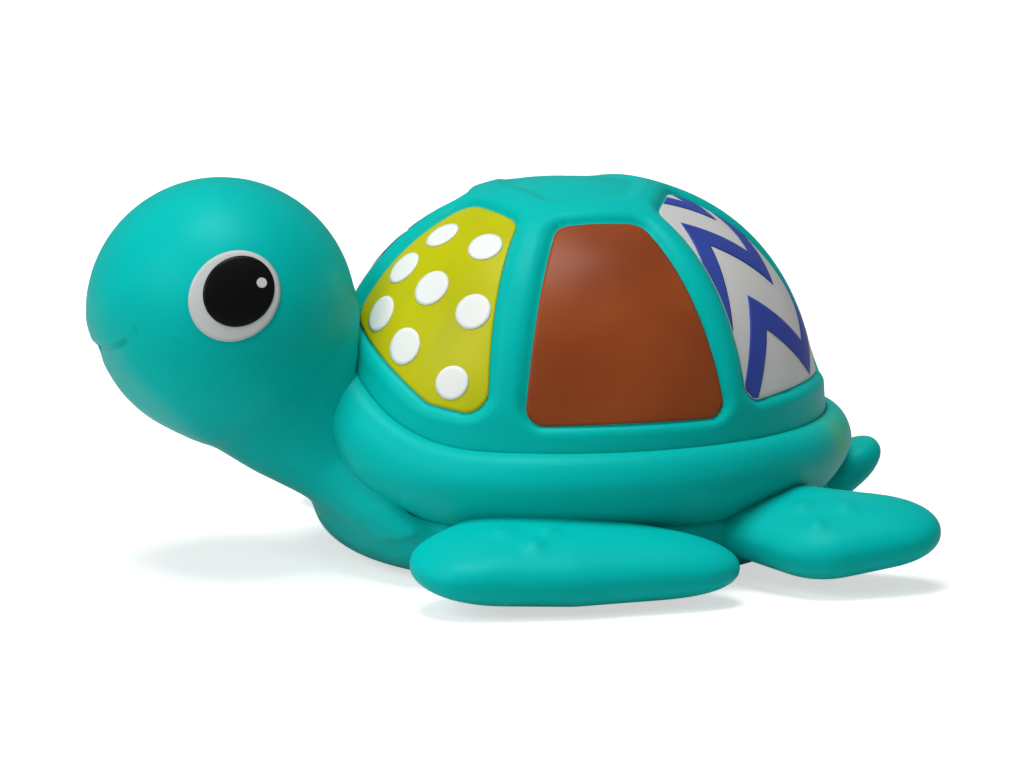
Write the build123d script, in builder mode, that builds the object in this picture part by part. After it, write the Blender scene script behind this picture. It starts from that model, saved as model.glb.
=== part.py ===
from build123d import *
import os
from math import cos, pi, radians, sin

# Squirting sea turtle for the bath, cast in soft vinyl, with its nose towards -Y, its left side
# towards +X and its flat belly on the plane z = 0. The origin is the middle of the belly's flat.

# Skin and fits
wall = 2.0                   # cast vinyl skin
running_gap = 0.3            # free space round the shell, which sinks when the toy is squeezed
fit_gap = 0.1                # between a spigot or plug and its hole
paint = 0.3                  # sprayed colour of a panel or an eye
print_coat = 0.15            # pattern printed over it
paint_edge = 0.1             # bare line left round a painted area

# Domed shell: an oval arch, fuller than an ellipse at its crown
shell_length = 78.0
shell_width = 70.6
shell_foot_z = 17.6
shell_top_z = 56.5
crown_pull = 0.645           # how far the flat of the crown reaches towards the side
side_pull = 0.507            # how far the upright of the side reaches towards the crown
bead_reach = 0.6             # bead round the shell's foot, caught under the rim's lip
bead_height = 1.2
skirt_depth = 4.2            # how far the shell goes down behind the rim over the neck

# Ribs between the shell's six panels, by their angle from the nose
rib_angles = (0, 62, 117, 180, 243, 298)
rib_width = 4.9
peak_rib_z = 54.9            # where the front and rear ribs meet the crown's flat
side_rib_z = 53.4            # where the other four do
panel_depth = 0.9
crown_depth = 0.5
panel_corner = 4.2
crown_corner = 2.0
rib_round = 0.55
panel_above_crease = 3.2
crease_bend = 40             # angle at which the crease starts to climb over the neck

# Patterns printed on the panels, placed from the middle of each panel
dot_radius = 2.15
dot_places = (
    (-4.9, 8.4), (2.9, 7.4), (-7.9, 2.4), (-1.1, 0.2),
    (-7.9, -4.2), (6.1, -1.9), (-1.5, -8.0), (6.9, -11.8),
)
zigzag_step = 6.8            # from a peak to the next valley
zigzag_drop = 8.3            # height of a peak over a valley
zigzag_stroke = 4.7          # height of the stroke
zigzag_pitch = 12.0          # from one zigzag to the next below it
zigzag_peak = (-5.7, 7.0)    # first peak of the middle zigzag

# Rim: a soft roll round the shell's foot, which climbs in an arch over the neck
crease_z = 21.3
rim_foot_z = 9.3
rim_swell = 3.2              # how far the roll stands out from the shell
rim_turn_z = 14.8            # where the roll starts to turn in underneath
rim_turn_pull = 0.65
rim_foot_reach = 37.5
rim_bore_reach = 35.6
rim_top_round = 2.4
arch_rise = 12.4             # crease over the neck, above the crease at the side
arch_half = 30.0
door_top_z = 28.3            # opening in the rim that the neck comes through
door_shoulder = (12.5, 22.5)
door_knee = (17.0, 13.5)
door_foot_half = 24.0

# Belly tub
belly_flat = 27.0            # half length of the flat it lies on
tub_reach = 39.4             # half length at its upper edge
tub_lip_height = 1.8         # lip that centres the rim
tub_lip_thick = 2.0

# Head and neck
head_radius = 20.0
head_y = -53.8
head_z = 38.3
neck_start_radius = 18.6
neck_start_shift = 3.0
neck_end_y = -33.0
neck_end_z = 18.0
neck_end_half_width = 17.5
neck_end_half_height = 11.2
squirt_hole = 2.4
smile_drop = 12.8            # mouth below the head's middle, in degrees
smile_slope = 40.4           # slope of the plane that the smile lies in
smile_half = 43.0            # half of the smile's arc, in degrees
smile_groove = 0.45

# Eyes, by their angle from the nose and above the head's middle
eye_turn = 80.0
eye_lift = 16.5
eye_tilt = 42.0
eye_half_length = 7.3
eye_half_width = 6.5
pupil_half_length = 5.5
pupil_half_width = 4.9
pupil_shift = (0.6, 0.6)
glint_radius = 0.75
glint_shift = (4.0, 1.9)

# Flippers and tail. Each outline is pulled tight round a few circles, each given by how far it
# lies outwards and rearwards and by its radius
flipper_thick = 9.4
flipper_slope = 12.0
flipper_bottom_z = 0.15
pebble_round = 0.92          # rounding of a limb's edge, as a share of half its thickness
front_hinge_x = 30.0
front_rounds = ((8.5, -26.0, 8.5), (10.5, -12.0, 8.8), (13.2, 8.0, 5.3), (0.0, -16.0, 8.0))
front_bumps = ((7.5, -21), (8.5, -14.5), (12.5, -17.5))
rear_hinge_x = 22.0
rear_rounds = ((6.0, 20.0, 8.0), (15.6, 28.0, 9.6), (17.8, 38.2, 6.6))
rear_bumps = ((14, 25), (16.5, 31), (19.5, 25.5))
bump_radius = 4.0
bump_height = 0.5
tail_thick = 6.6
tail_slope = 36.0
tail_root_y = 38.0
tail_root_z = 5.5
tail_rounds = ((0.0, 0.0, 5.6), (0.0, 8.4, 4.9))
front_root_angle = 64.0      # where a flipper's spigot enters the tub
rear_root_angle = 125.0
flipper_spigot = 6.0         # half length of a spigot's flat section
tail_spigot = 3.4
spigot_z = 5.2
spigot_half_height = 2.2
spigot_wall = 1.1
spigot_reach = 3.4           # from the tub's outside inwards

# Plug that closes the opening the casting is drawn through
plug_radius = 6.0
plug_head_radius = 7.6
plug_head_thick = 1.0
plug_boss_radius = 9.5
plug_boss_height = 1.6
plug_barb = 0.35
plug_barb_height = 1.2

shell_reach = shell_length / 2
shell_rise = shell_top_z - shell_foot_z
side_share = shell_width / shell_length
lip_z = shell_foot_z + bead_height + running_gap
hub = Vector(0, 0, crease_z)
far_out = shell_length       # clear of the toy on every side
wedge_near = 0.5             # ends of a cell's wedge, as shares of the way from the hub to its cell
wedge_far = 1.4
head_middle = Vector(0, head_y, head_z)
halvings = 40                # steps that close in on a point of the arch
on_surface = 0.05            # how near a point counts as on a surface


def arch_line(inset, foot_z):
    """Half of the shell's arch from its crown to foot_z, moved inwards by inset."""
    reach = shell_reach - inset
    rise = shell_rise - inset
    arch = Bezier(
        (0, shell_foot_z + rise),
        (crown_pull * reach, shell_foot_z + rise),
        (reach, shell_foot_z + side_pull * rise),
        (reach, shell_foot_z),
    )
    if foot_z < shell_foot_z:
        Line(arch @ 1, (reach, foot_z))
    return arch


def shell_core(inset, foot_z=shell_foot_z):
    """Solid oval dome inside the surface at that inset, down to foot_z."""
    with BuildPart() as core:
        with BuildSketch(Plane.XZ):
            with BuildLine():
                arch = arch_line(inset, foot_z)
                Line(arch @ 0, (0, foot_z))
                Line((0, foot_z), (shell_reach - inset, foot_z))
            make_face()
        revolve(axis=Axis.Z)
        scale(by=(side_share, 1, 1))
    return core.part


def shell_layer(outer_inset, inner_inset):
    """Oval layer of the shell between two insets, open underneath."""
    with BuildPart() as layer:
        add(shell_core(outer_inset))
        add(shell_core(inner_inset), mode=Mode.SUBTRACT)
    return layer.part


def arch_radius(height):
    """Half length of the shell at that height, found along its arch."""
    low, high = 0.0, 1.0
    for _ in range(halvings):
        mid = (low + high) / 2
        rest = 1 - mid
        level = rest**3 + 3 * rest**2 * mid + 3 * rest * mid**2 * side_pull
        if shell_foot_z + shell_rise * level > height:
            low = mid
        else:
            high = mid
    rest = 1 - low
    return shell_reach * (3 * rest**2 * low * crown_pull + 3 * rest * low**2 + low**3)


def oval_reach(point):
    """Half length of the oval, of the toy's own proportion, that passes through a point."""
    return ((point.X / side_share) ** 2 + point.Y**2) ** 0.5


def oval_point(angle, reach, height):
    """Point at that angle from the nose on the oval of that half length."""
    return Vector(side_share * reach * sin(radians(angle)), -reach * cos(radians(angle)), height)


def shell_point(angle, height):
    """Point on the shell's outside at that angle from the nose and that height."""
    return oval_point(angle, arch_radius(height), height)


def crease_height(x):
    """Height of the crease in the front half, at that distance from the midplane."""
    if abs(x) > arch_half:
        return crease_z
    return crease_z + arch_rise * cos(pi * x / (2 * arch_half)) ** 2


def crease_foot(angle):
    """Point a little above the crease, where a rib or a panel ends."""
    x = side_share * shell_reach * sin(radians(angle))
    in_front = cos(radians(angle)) > 0
    height = crease_height(x) if in_front else crease_z
    return shell_point(angle, height + panel_above_crease)


def crown_point(index):
    """Corner of the flat on the crown, where a rib ends."""
    height = peak_rib_z if index % 3 == 0 else side_rib_z
    return shell_point(rib_angles[index % 6], height)


def cell_corners(index):
    """Corners of one side cell of the shell, along the middles of its ribs."""
    start = rib_angles[index]
    end = rib_angles[index + 1] if index < 5 else 360
    corners = [crown_point(index), crown_point(index + 1), crease_foot(end)]
    if index == 0:
        corners.append(crease_foot(crease_bend))
    if index == 5:
        corners.append(crease_foot(360 - crease_bend))
    return corners + [crease_foot(start)]


def cell_plane(corners):
    """Plane that touches the shell in the middle of a cell and looks outwards."""
    middle = sum(corners, Vector(0, 0, 0)) / len(corners)
    outward = (middle - hub).normalized()
    side = Vector(0, 0, 1).cross(outward)
    if side.length < 0.1:
        side = Vector(1, 0, 0)
    return Plane(origin=middle, x_dir=side, z_dir=outward)


def sight_plane(plane, share):
    """The same plane moved along its sight line from the hub, to that share of its distance."""
    return Plane(origin=hub + (plane.origin - hub) * share, x_dir=plane.x_dir, z_dir=plane.z_dir)


def seen_from_hub(plane, point):
    """Where the line from the hub through a point meets the plane, in the plane's own axes."""
    ray = point - hub
    depth = (plane.origin - hub).dot(plane.z_dir) / ray.dot(plane.z_dir)
    local = plane.to_local_coords(hub + ray * depth)
    return (local.X, local.Y)


def sight_wedge(plane, outline):
    """Wedge that widens from the hub outwards and fills an outline drawn on the plane."""
    with BuildPart() as wedge:
        for share in (wedge_near, wedge_far):
            with BuildSketch(sight_plane(plane, share)):
                add(scale(outline, by=share, mode=Mode.PRIVATE))
        loft(ruled=True)
    return wedge.part


def cell_outline(corners, margin, corner_radius):
    """Outline of a cell in its own plane, drawn in by margin and rounded at its corners."""
    plane = cell_plane(corners)
    with BuildSketch() as outline:
        with BuildLine():
            Polyline([seen_from_hub(plane, corner) for corner in corners], close=True)
        make_face()
        offset(amount=-margin, kind=Kind.INTERSECTION)
        fillet(outline.vertices(), radius=corner_radius)
    return outline.sketch


def cell_wedge(corners, margin, corner_radius):
    """Wedge from near the hub out through one cell."""
    return sight_wedge(cell_plane(corners), cell_outline(corners, margin, corner_radius))


def common(body, cutter):
    """What two bodies share."""
    with BuildPart() as shared:
        add(body)
        add(cutter, mode=Mode.INTERSECT)
    return shared.part


def on_shell(edge):
    """Whether an edge lies on the shell's outside."""
    point = edge @ 0.5
    return abs(oval_reach(point) - arch_radius(point.Z)) < on_surface


def finish(builder, name):
    """Label a finished piece and write it."""
    builder.part.label = name
    export_step(builder.part, f"parts/{name}.step")


def over_crease(lower):
    """Body that holds all that lies higher than lower under the crease."""
    stations = [arch_half * (step / 4 - 1) for step in range(9)]
    with BuildPart() as over:
        with BuildSketch(Plane.XZ):
            with BuildLine():
                crease = Spline(
                    [(x, crease_height(x) - lower) for x in stations],
                    tangents=((1, 0), (1, 0)),
                )
                Polyline(
                    crease @ 1,
                    (far_out, crease_z - lower),
                    (far_out, crease_z - lower + far_out),
                    (-far_out, crease_z - lower + far_out),
                    (-far_out, crease_z - lower),
                    crease @ 0,
                )
            make_face()
        extrude(amount=far_out)
        with BuildSketch(Plane.XY.offset(crease_z - lower)):
            Rectangle(2 * far_out, far_out, align=(Align.CENTER, Align.MIN))
        extrude(amount=far_out)
    return over.part


def neck_door():
    """Body that fills the neck's opening through the rim."""
    with BuildPart() as door:
        with BuildSketch(Plane.XZ.offset(shell_reach / 2)):
            with BuildLine():
                arch = Spline(
                    (-door_foot_half, rim_foot_z),
                    (-door_knee[0], door_knee[1]),
                    (-door_shoulder[0], door_shoulder[1]),
                    (0, door_top_z),
                    door_shoulder,
                    door_knee,
                    (door_foot_half, rim_foot_z),
                )
                Polyline(
                    arch @ 1,
                    (door_foot_half, rim_foot_z - wall),
                    (-door_foot_half, rim_foot_z - wall),
                    arch @ 0,
                )
            make_face()
        extrude(amount=shell_reach)
    return door.part


os.makedirs("parts", exist_ok=True)

# Domed shell, with a recess for each painted panel and a shallow one for the flat of its crown
cells = [cell_corners(index) for index in range(6)]
crown_cell = [crown_point(index) for index in range(6)]
panel_recess = shell_layer(-wall, panel_depth)
crown_recess = shell_layer(-wall, crown_depth)

with BuildPart() as shell_bead:
    with BuildSketch(Plane.XZ):
        with Locations((shell_reach - wall, shell_foot_z)):
            Rectangle(wall + bead_reach, bead_height, align=Align.MIN)
    revolve(axis=Axis.Z)
    scale(by=(side_share, 1, 1))

with BuildPart() as shell_dome:
    add(shell_core(0))
    for cell in cells:
        recess = common(panel_recess, cell_wedge(cell, rib_width / 2, panel_corner))
        add(recess, mode=Mode.SUBTRACT)
        fillet(shell_dome.edges(Select.LAST).filter_by(on_shell), radius=rib_round)
    crown_wedge = cell_wedge(crown_cell, rib_width / 2, crown_corner)
    add(common(crown_recess, crown_wedge), mode=Mode.SUBTRACT)
    fillet(shell_dome.edges(Select.LAST).filter_by(on_shell), radius=rib_round / 2)
    add(shell_core(wall), mode=Mode.SUBTRACT)
    add(shell_bead.part)
    add(over_crease(skirt_depth), mode=Mode.INTERSECT)
finish(shell_dome, "shell_dome")

# Painted panels on the floors of the recesses, each a layer of its own colour
panel_paint = shell_layer(panel_depth - paint, panel_depth)
panel_print = shell_layer(panel_depth - paint - print_coat, panel_depth - paint)
panel_names = (
    "lime_panel_front_left", "brown_panel_left", "white_panel_rear_left",
    "lime_panel_rear_right", "brown_panel_right", "white_panel_front_right",
)
panel_wedges = [cell_wedge(cell, rib_width / 2 + paint_edge, panel_corner) for cell in cells]
for name, wedge in zip(panel_names, panel_wedges):
    with BuildPart() as panel:
        add(panel_paint)
        add(wedge, mode=Mode.INTERSECT)
    finish(panel, name)


def printed(wedge, shapes, plane):
    """Shapes printed on one panel, each cut off at the panel's edge."""
    coat = common(panel_print, wedge)
    with BuildPart() as pattern:
        for shape in shapes:
            add(common(coat, sight_wedge(plane, shape)))
    return pattern


def dot_shapes():
    """Round dots, scattered as they lie on the lime panels."""
    shapes = []
    for place in dot_places:
        with BuildSketch() as dot:
            with Locations(place):
                Circle(dot_radius)
        shapes.append(dot.sketch)
    return shapes


def zigzag_shapes():
    """Three zigzags, one under the other, as they lie on the white panels."""
    shapes = []
    for row in (-1, 0, 1):
        top = zigzag_peak[1] - row * zigzag_pitch
        line = []
        for turn in range(-1, 4):
            drop = zigzag_drop if turn % 2 else 0
            line.append((zigzag_peak[0] + turn * zigzag_step, top - drop))
        upper = [(x, y + zigzag_stroke / 2) for x, y in line]
        lower = [(x, y - zigzag_stroke / 2) for x, y in reversed(line)]
        with BuildSketch() as zigzag:
            with BuildLine():
                Polyline(upper + lower, close=True)
            make_face()
        shapes.append(zigzag.sketch)
    return shapes


for index, name in ((0, "dots_front_left"), (3, "dots_rear_right")):
    finish(printed(panel_wedges[index], dot_shapes(), cell_plane(cells[index])), name)
for index, name in ((2, "zigzags_rear_left"), (5, "zigzags_front_right")):
    finish(printed(panel_wedges[index], zigzag_shapes(), cell_plane(cells[index])), name)


def roll_line(reach, foot_reach, foot_z):
    """Curve of the rim's roll from its widest point in to its foot."""
    rise = rim_turn_z - foot_z
    inwards = reach - foot_reach
    return Bezier(
        (reach, rim_turn_z),
        (reach, rim_turn_z - rim_turn_pull * rise),
        (foot_reach + rim_turn_pull * inwards, foot_z),
        (foot_reach, foot_z),
    )


def roll_core(reach, foot_reach, foot_z, top_z):
    """Solid oval body inside the rim's roll, from its foot up to top_z."""
    with BuildPart() as core:
        with BuildSketch(Plane.XZ):
            with BuildLine():
                roll = roll_line(reach, foot_reach, foot_z)
                Polyline(roll @ 1, (0, foot_z), (0, top_z), (reach, top_z), roll @ 0)
            make_face()
        revolve(axis=Axis.Z)
        scale(by=(side_share, 1, 1))
    return core.part


# Rim, open inside for the shell's foot, with a lip over the bead
rim_reach = shell_reach + running_gap + rim_swell
chamber_reach = rim_reach - wall


def on_rim_top(edge):
    """Whether an edge runs round the outside of the rim's upper face."""
    point = edge @ 0.5
    outside = oval_reach(point) - arch_radius(point.Z) > running_gap + rim_swell / 2
    return outside and point.Z > crease_z - wall


with BuildPart() as rim_envelope:
    add(shell_core(-running_gap - rim_swell, rim_turn_z))
    add(roll_core(rim_reach, rim_foot_reach, rim_foot_z, shell_foot_z))
    add(over_crease(0), mode=Mode.SUBTRACT)
    fillet(rim_envelope.edges(Select.LAST).filter_by(on_rim_top), radius=rim_top_round)

with BuildPart() as shell_rim:
    add(rim_envelope.part)
    add(shell_core(-running_gap), mode=Mode.SUBTRACT)
    add(roll_core(chamber_reach, rim_foot_reach, rim_foot_z + wall, lip_z), mode=Mode.SUBTRACT)
    with BuildSketch(Plane.XY.offset(rim_foot_z)):
        Ellipse(side_share * rim_bore_reach, rim_bore_reach)
    extrude(amount=2 * wall, mode=Mode.SUBTRACT)
    add(neck_door(), mode=Mode.SUBTRACT)
finish(shell_rim, "shell_rim")


def tub_core(inset, foot_z, top_z):
    """Solid oval dish inside the tub's surface at that inset, from foot_z up to top_z."""
    reach = tub_reach - inset
    flat = belly_flat - inset / 2
    with BuildPart() as core:
        with BuildSketch(Plane.XZ):
            with BuildLine():
                side = Bezier(
                    (flat, foot_z),
                    (reach - (reach - flat) / 3, foot_z),
                    (reach, (foot_z + top_z) / 2),
                    (reach, top_z),
                )
                Polyline(side @ 1, (0, top_z), (0, foot_z), side @ 0)
            make_face()
        revolve(axis=Axis.Z)
        scale(by=(side_share, 1, 1))
    return core.part


# Belly tub, which lies on its flat, carries the flippers and centres the rim with its lip
tub_envelope = tub_core(0, 0, rim_foot_z)
lip_outside = rim_bore_reach - fit_gap
lip_inside = lip_outside - tub_lip_thick
roots = {
    front_root_angle: flipper_spigot,
    -front_root_angle: flipper_spigot,
    rear_root_angle: flipper_spigot,
    -rear_root_angle: flipper_spigot,
    180: tail_spigot,
}


def root_plane(angle):
    """Plane on the tub's side where a flipper is rooted, looking outwards."""
    point = oval_point(angle, tub_reach, spigot_z)
    outward = Vector(sin(radians(angle)) / side_share, -cos(radians(angle)), 0).normalized()
    return Plane(origin=point, x_dir=Vector(0, 0, 1).cross(outward), z_dir=outward)


def spigot_body(angle, half_length, inset, near, far):
    """Flat round-ended bar through the tub's side, from near to far outwards of its edge."""
    with BuildPart() as bar:
        with BuildSketch(root_plane(angle).offset(near)):
            SlotOverall(2 * (half_length - inset), 2 * (spigot_half_height - inset))
        extrude(amount=far - near)
    return bar.part


with BuildPart() as belly_tub:
    add(tub_envelope)
    with BuildSketch(Plane.XY.offset(rim_foot_z)):
        Ellipse(side_share * lip_outside, lip_outside)
    extrude(amount=tub_lip_height)
    add(tub_core(wall, wall, rim_foot_z - wall), mode=Mode.SUBTRACT)
    with BuildSketch(Plane.XY.offset(wall)):
        Ellipse(side_share * lip_inside, lip_inside)
    extrude(amount=far_out, mode=Mode.SUBTRACT)
    with BuildSketch(Plane.XY.offset(plug_head_thick)):
        Circle(plug_boss_radius)
    extrude(amount=wall - plug_head_thick + plug_boss_height)
    with Locations(Plane(origin=(0, 0, 0), z_dir=(0, 0, -1))):
        CounterBoreHole(plug_radius + fit_gap, plug_head_radius + fit_gap, plug_head_thick)
    for angle, half_length in roots.items():
        socket = spigot_body(angle, half_length, -fit_gap, -2 * spigot_reach, wall)
        add(socket, mode=Mode.SUBTRACT)
finish(belly_tub, "belly_tub")


# Plug, with a barb that snaps in behind the boss
plug_seat_z = wall + plug_boss_height
with BuildPart() as belly_plug:
    with BuildSketch(Plane.XZ):
        with BuildLine():
            Polyline(
                (0, 0),
                (plug_head_radius, 0),
                (plug_head_radius, plug_head_thick),
                (plug_radius, plug_head_thick),
                (plug_radius, plug_seat_z + fit_gap),
                (plug_radius + plug_barb, plug_seat_z + fit_gap),
                (plug_radius - plug_barb, plug_seat_z + fit_gap + plug_barb_height),
                (0, plug_seat_z + fit_gap + plug_barb_height),
                close=True,
            )
        make_face()
    revolve(axis=Axis.Z)
finish(belly_plug, "belly_plug")

# Head and neck, one hollow casting that opens into the tub
neck_axis = (Vector(0, neck_end_y, neck_end_z) - head_middle).normalized()


def neck_body(inset, end_y):
    """Neck inside its skin at that inset, from inside the head to the plane y = end_y."""
    start = head_middle + neck_axis * neck_start_shift
    with BuildPart() as neck:
        with BuildSketch(Plane(origin=start, x_dir=(1, 0, 0), z_dir=neck_axis)):
            Circle(neck_start_radius - inset)
        with BuildSketch(Plane(origin=(0, end_y, neck_end_z), x_dir=(1, 0, 0), z_dir=(0, 1, 0))):
            Ellipse(neck_end_half_width - inset, neck_end_half_height - inset)
        loft()
    return neck.part


def head_direction(turn, lift):
    """Direction from the head's middle, by the angle from the nose and above level."""
    level = cos(radians(lift))
    return Vector(level * sin(radians(turn)), -level * cos(radians(turn)), sin(radians(lift)))


def eye_plane(turn):
    """Plane that touches the head in the middle of an eye and looks outwards."""
    outward = head_direction(turn, eye_lift)
    rearward = Vector(0, 0, 1).cross(outward)
    return Plane(origin=head_middle + outward * head_radius, x_dir=rearward, z_dir=outward)


def eye_layer(middle, half_length, half_width, inner, outer):
    """Oval of the left eye between two levels, measured outwards from the head's skin."""
    with BuildPart() as layer:
        with BuildSketch(eye_plane(eye_turn)):
            with Locations(middle):
                Ellipse(half_length, half_width, rotation=eye_tilt)
        extrude(amount=head_radius / 2, both=True)
        with Locations(Location(head_middle)):
            Sphere(head_radius + outer, mode=Mode.INTERSECT)
            Sphere(head_radius + inner, mode=Mode.SUBTRACT)
    return layer.part


mouth = head_direction(0, -smile_drop)
smile_normal = Vector(0, -sin(radians(smile_slope)), cos(radians(smile_slope)))
smile_offset = head_radius * mouth.dot(smile_normal)
smile_radius = (head_radius**2 - smile_offset**2) ** 0.5
smile_plane = Plane(
    origin=head_middle + smile_normal * smile_offset, x_dir=(1, 0, 0), z_dir=smile_normal
)
eye_bed = eye_layer((0, 0), eye_half_length, eye_half_width, -paint, paint)

with BuildPart() as head_and_neck:
    with Locations(Location(head_middle)):
        Sphere(head_radius)
    add(neck_body(0, neck_end_y))
    with Locations(Location(head_middle)):
        Sphere(head_radius - wall, mode=Mode.SUBTRACT)
    add(neck_body(wall, neck_end_y + wall), mode=Mode.SUBTRACT)
    with BuildLine(smile_plane) as smile:
        CenterArc((0, 0), smile_radius, 270 - smile_half, 2 * smile_half)
    with BuildSketch(Plane(origin=smile.line @ 0, z_dir=smile.line % 0)):
        Circle(smile_groove)
    sweep(mode=Mode.SUBTRACT)
    with Locations(Plane(origin=head_middle + mouth * head_radius, z_dir=mouth)):
        Hole(squirt_hole / 2, depth=2 * wall)
    add(eye_bed, mode=Mode.SUBTRACT)
    add(mirror(eye_bed, about=Plane.YZ, mode=Mode.PRIVATE), mode=Mode.SUBTRACT)
    add(shell_core(-running_gap, 0), mode=Mode.SUBTRACT)
    add(shell_rim.part, mode=Mode.SUBTRACT)
    add(tub_envelope, mode=Mode.SUBTRACT)
finish(head_and_neck, "head_and_neck")

# Painted eyes, the white in a shallow bed and the rest printed over it
eye_layers = {
    "eye_white": eye_layer(
        (0, 0), eye_half_length - paint_edge, eye_half_width - paint_edge, -paint, 0
    ),
    "pupil": eye_layer(pupil_shift, pupil_half_length, pupil_half_width, 0, print_coat),
    "eye_glint": eye_layer(glint_shift, glint_radius, glint_radius, print_coat, 2 * print_coat),
}
for name, left in eye_layers.items():
    with BuildPart() as left_eye:
        add(left)
    finish(left_eye, f"{name}_left")
    with BuildPart() as right_eye:
        mirror(left, about=Plane.YZ)
    finish(right_eye, f"{name}_right")


# Flippers, each a hollow paddle on a tubular spigot
def paddle(plane, rounds, thick, inset):
    """Pebble-like paddle inside its skin at that inset, pulled tight round a few circles."""
    half = thick / 2 - inset
    with BuildPart() as body:
        with BuildSketch(plane):
            for x, y, radius in rounds:
                with Locations((x, y)):
                    Circle(radius - inset)
            make_hull()
        extrude(amount=half, both=True)
        fillet(body.edges(), radius=pebble_round * half)
    return body.part


def flipper_plane(hinge_x, rounds):
    """Plane through a flipper's middle, sloped down so that its outer edge meets the floor."""
    slope = radians(flipper_slope)
    reach = max(x + radius for x, y, radius in rounds) - flipper_thick / 2
    hinge_z = flipper_bottom_z + flipper_thick / 2 + reach * sin(slope)
    return Plane(
        origin=(hinge_x, 0, hinge_z),
        x_dir=(cos(slope), 0, -sin(slope)),
        z_dir=(sin(slope), 0, cos(slope)),
    )


def rooted(blank, core, root_angle, half_length, reach_out):
    """Hollow limb, trimmed where it lies against the tub and the rim, on its tubular spigot."""
    with BuildPart() as limb:
        add(blank)
        add(tub_envelope, mode=Mode.SUBTRACT)
        add(rim_envelope.part, mode=Mode.SUBTRACT)
        add(spigot_body(root_angle, half_length, 0, -spigot_reach, reach_out))
        add(core, mode=Mode.SUBTRACT)
        bore = spigot_body(root_angle, half_length, spigot_wall, -2 * spigot_reach, 2 * reach_out)
        add(bore, mode=Mode.SUBTRACT)
    return limb.part


def flipper(hinge_x, rounds, root_angle, bump_places):
    """Left flipper with the low bumps on its upper side."""
    plane = flipper_plane(hinge_x, rounds)
    bump_level = flipper_thick / 2 + bump_height - bump_radius
    with BuildPart() as blank:
        add(paddle(plane, rounds, flipper_thick, 0))
        with Locations(*[plane.offset(bump_level) * Location((x, y, 0)) for x, y in bump_places]):
            Sphere(bump_radius)
    core = paddle(plane, rounds, flipper_thick, wall)
    return rooted(blank.part, core, root_angle, flipper_spigot, flipper_thick / 2)


front_flipper = flipper(front_hinge_x, front_rounds, front_root_angle, front_bumps)
rear_flipper = flipper(rear_hinge_x, rear_rounds, rear_root_angle, rear_bumps)
for name, left in (("front_flipper", front_flipper), ("rear_flipper", rear_flipper)):
    with BuildPart() as left_flipper:
        add(left)
    finish(left_flipper, f"{name}_left")
    with BuildPart() as right_flipper:
        mirror(left, about=Plane.YZ)
    finish(right_flipper, f"{name}_right")

# Tail, a small leaf that turns up behind the rim
tail_rise = radians(tail_slope)
tail_plane = Plane(
    origin=(0, tail_root_y, tail_root_z), x_dir=(1, 0, 0), z_dir=(0, -sin(tail_rise), cos(tail_rise))
)
with BuildPart() as tail:
    blank = paddle(tail_plane, tail_rounds, tail_thick, 0)
    core = paddle(tail_plane, tail_rounds, tail_thick, wall)
    add(rooted(blank, core, 180, tail_spigot, tail_thick / 2))
finish(tail, "tail")
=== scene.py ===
"""Dresses the squirting sea turtle: a soft-vinyl body, painted shell panels and printed eyes."""
import logging
import math
from dataclasses import dataclass, field
from enum import Enum
from typing import Any, Callable, Sequence

import bmesh
import bpy
import numpy as np
from mathutils import Matrix, Vector


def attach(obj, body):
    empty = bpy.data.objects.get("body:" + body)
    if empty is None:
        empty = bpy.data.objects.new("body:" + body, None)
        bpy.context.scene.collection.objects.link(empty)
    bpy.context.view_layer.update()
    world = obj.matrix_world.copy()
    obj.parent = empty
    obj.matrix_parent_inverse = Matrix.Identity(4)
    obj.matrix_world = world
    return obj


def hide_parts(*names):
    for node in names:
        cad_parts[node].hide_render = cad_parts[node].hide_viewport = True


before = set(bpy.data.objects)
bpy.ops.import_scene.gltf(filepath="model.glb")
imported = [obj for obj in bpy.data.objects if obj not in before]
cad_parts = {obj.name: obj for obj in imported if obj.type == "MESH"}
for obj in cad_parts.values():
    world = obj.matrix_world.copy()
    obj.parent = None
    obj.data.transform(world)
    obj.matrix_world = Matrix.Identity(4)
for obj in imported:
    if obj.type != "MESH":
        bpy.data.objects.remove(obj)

LOG = logging.getLogger("turtle")
MM = 0.001
Place = tuple[float, float]
Colour = tuple[float, float, float, float]


class Body(Enum):
    """The two bodies that pieces ride on."""

    TURTLE = "turtle"
    SHELL = "shell"


class Slot(Enum):
    """Material slots of the record."""

    VINYL = "teal_vinyl"
    PLUG = "plug_vinyl"
    LIME = "lime_paint"
    BROWN = "brown_paint"
    WHITE = "white_paint"
    DOTS = "dot_print"
    BLUE = "blue_print"
    EYE = "eye_white_paint"
    PUPIL = "pupil_paint"


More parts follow.
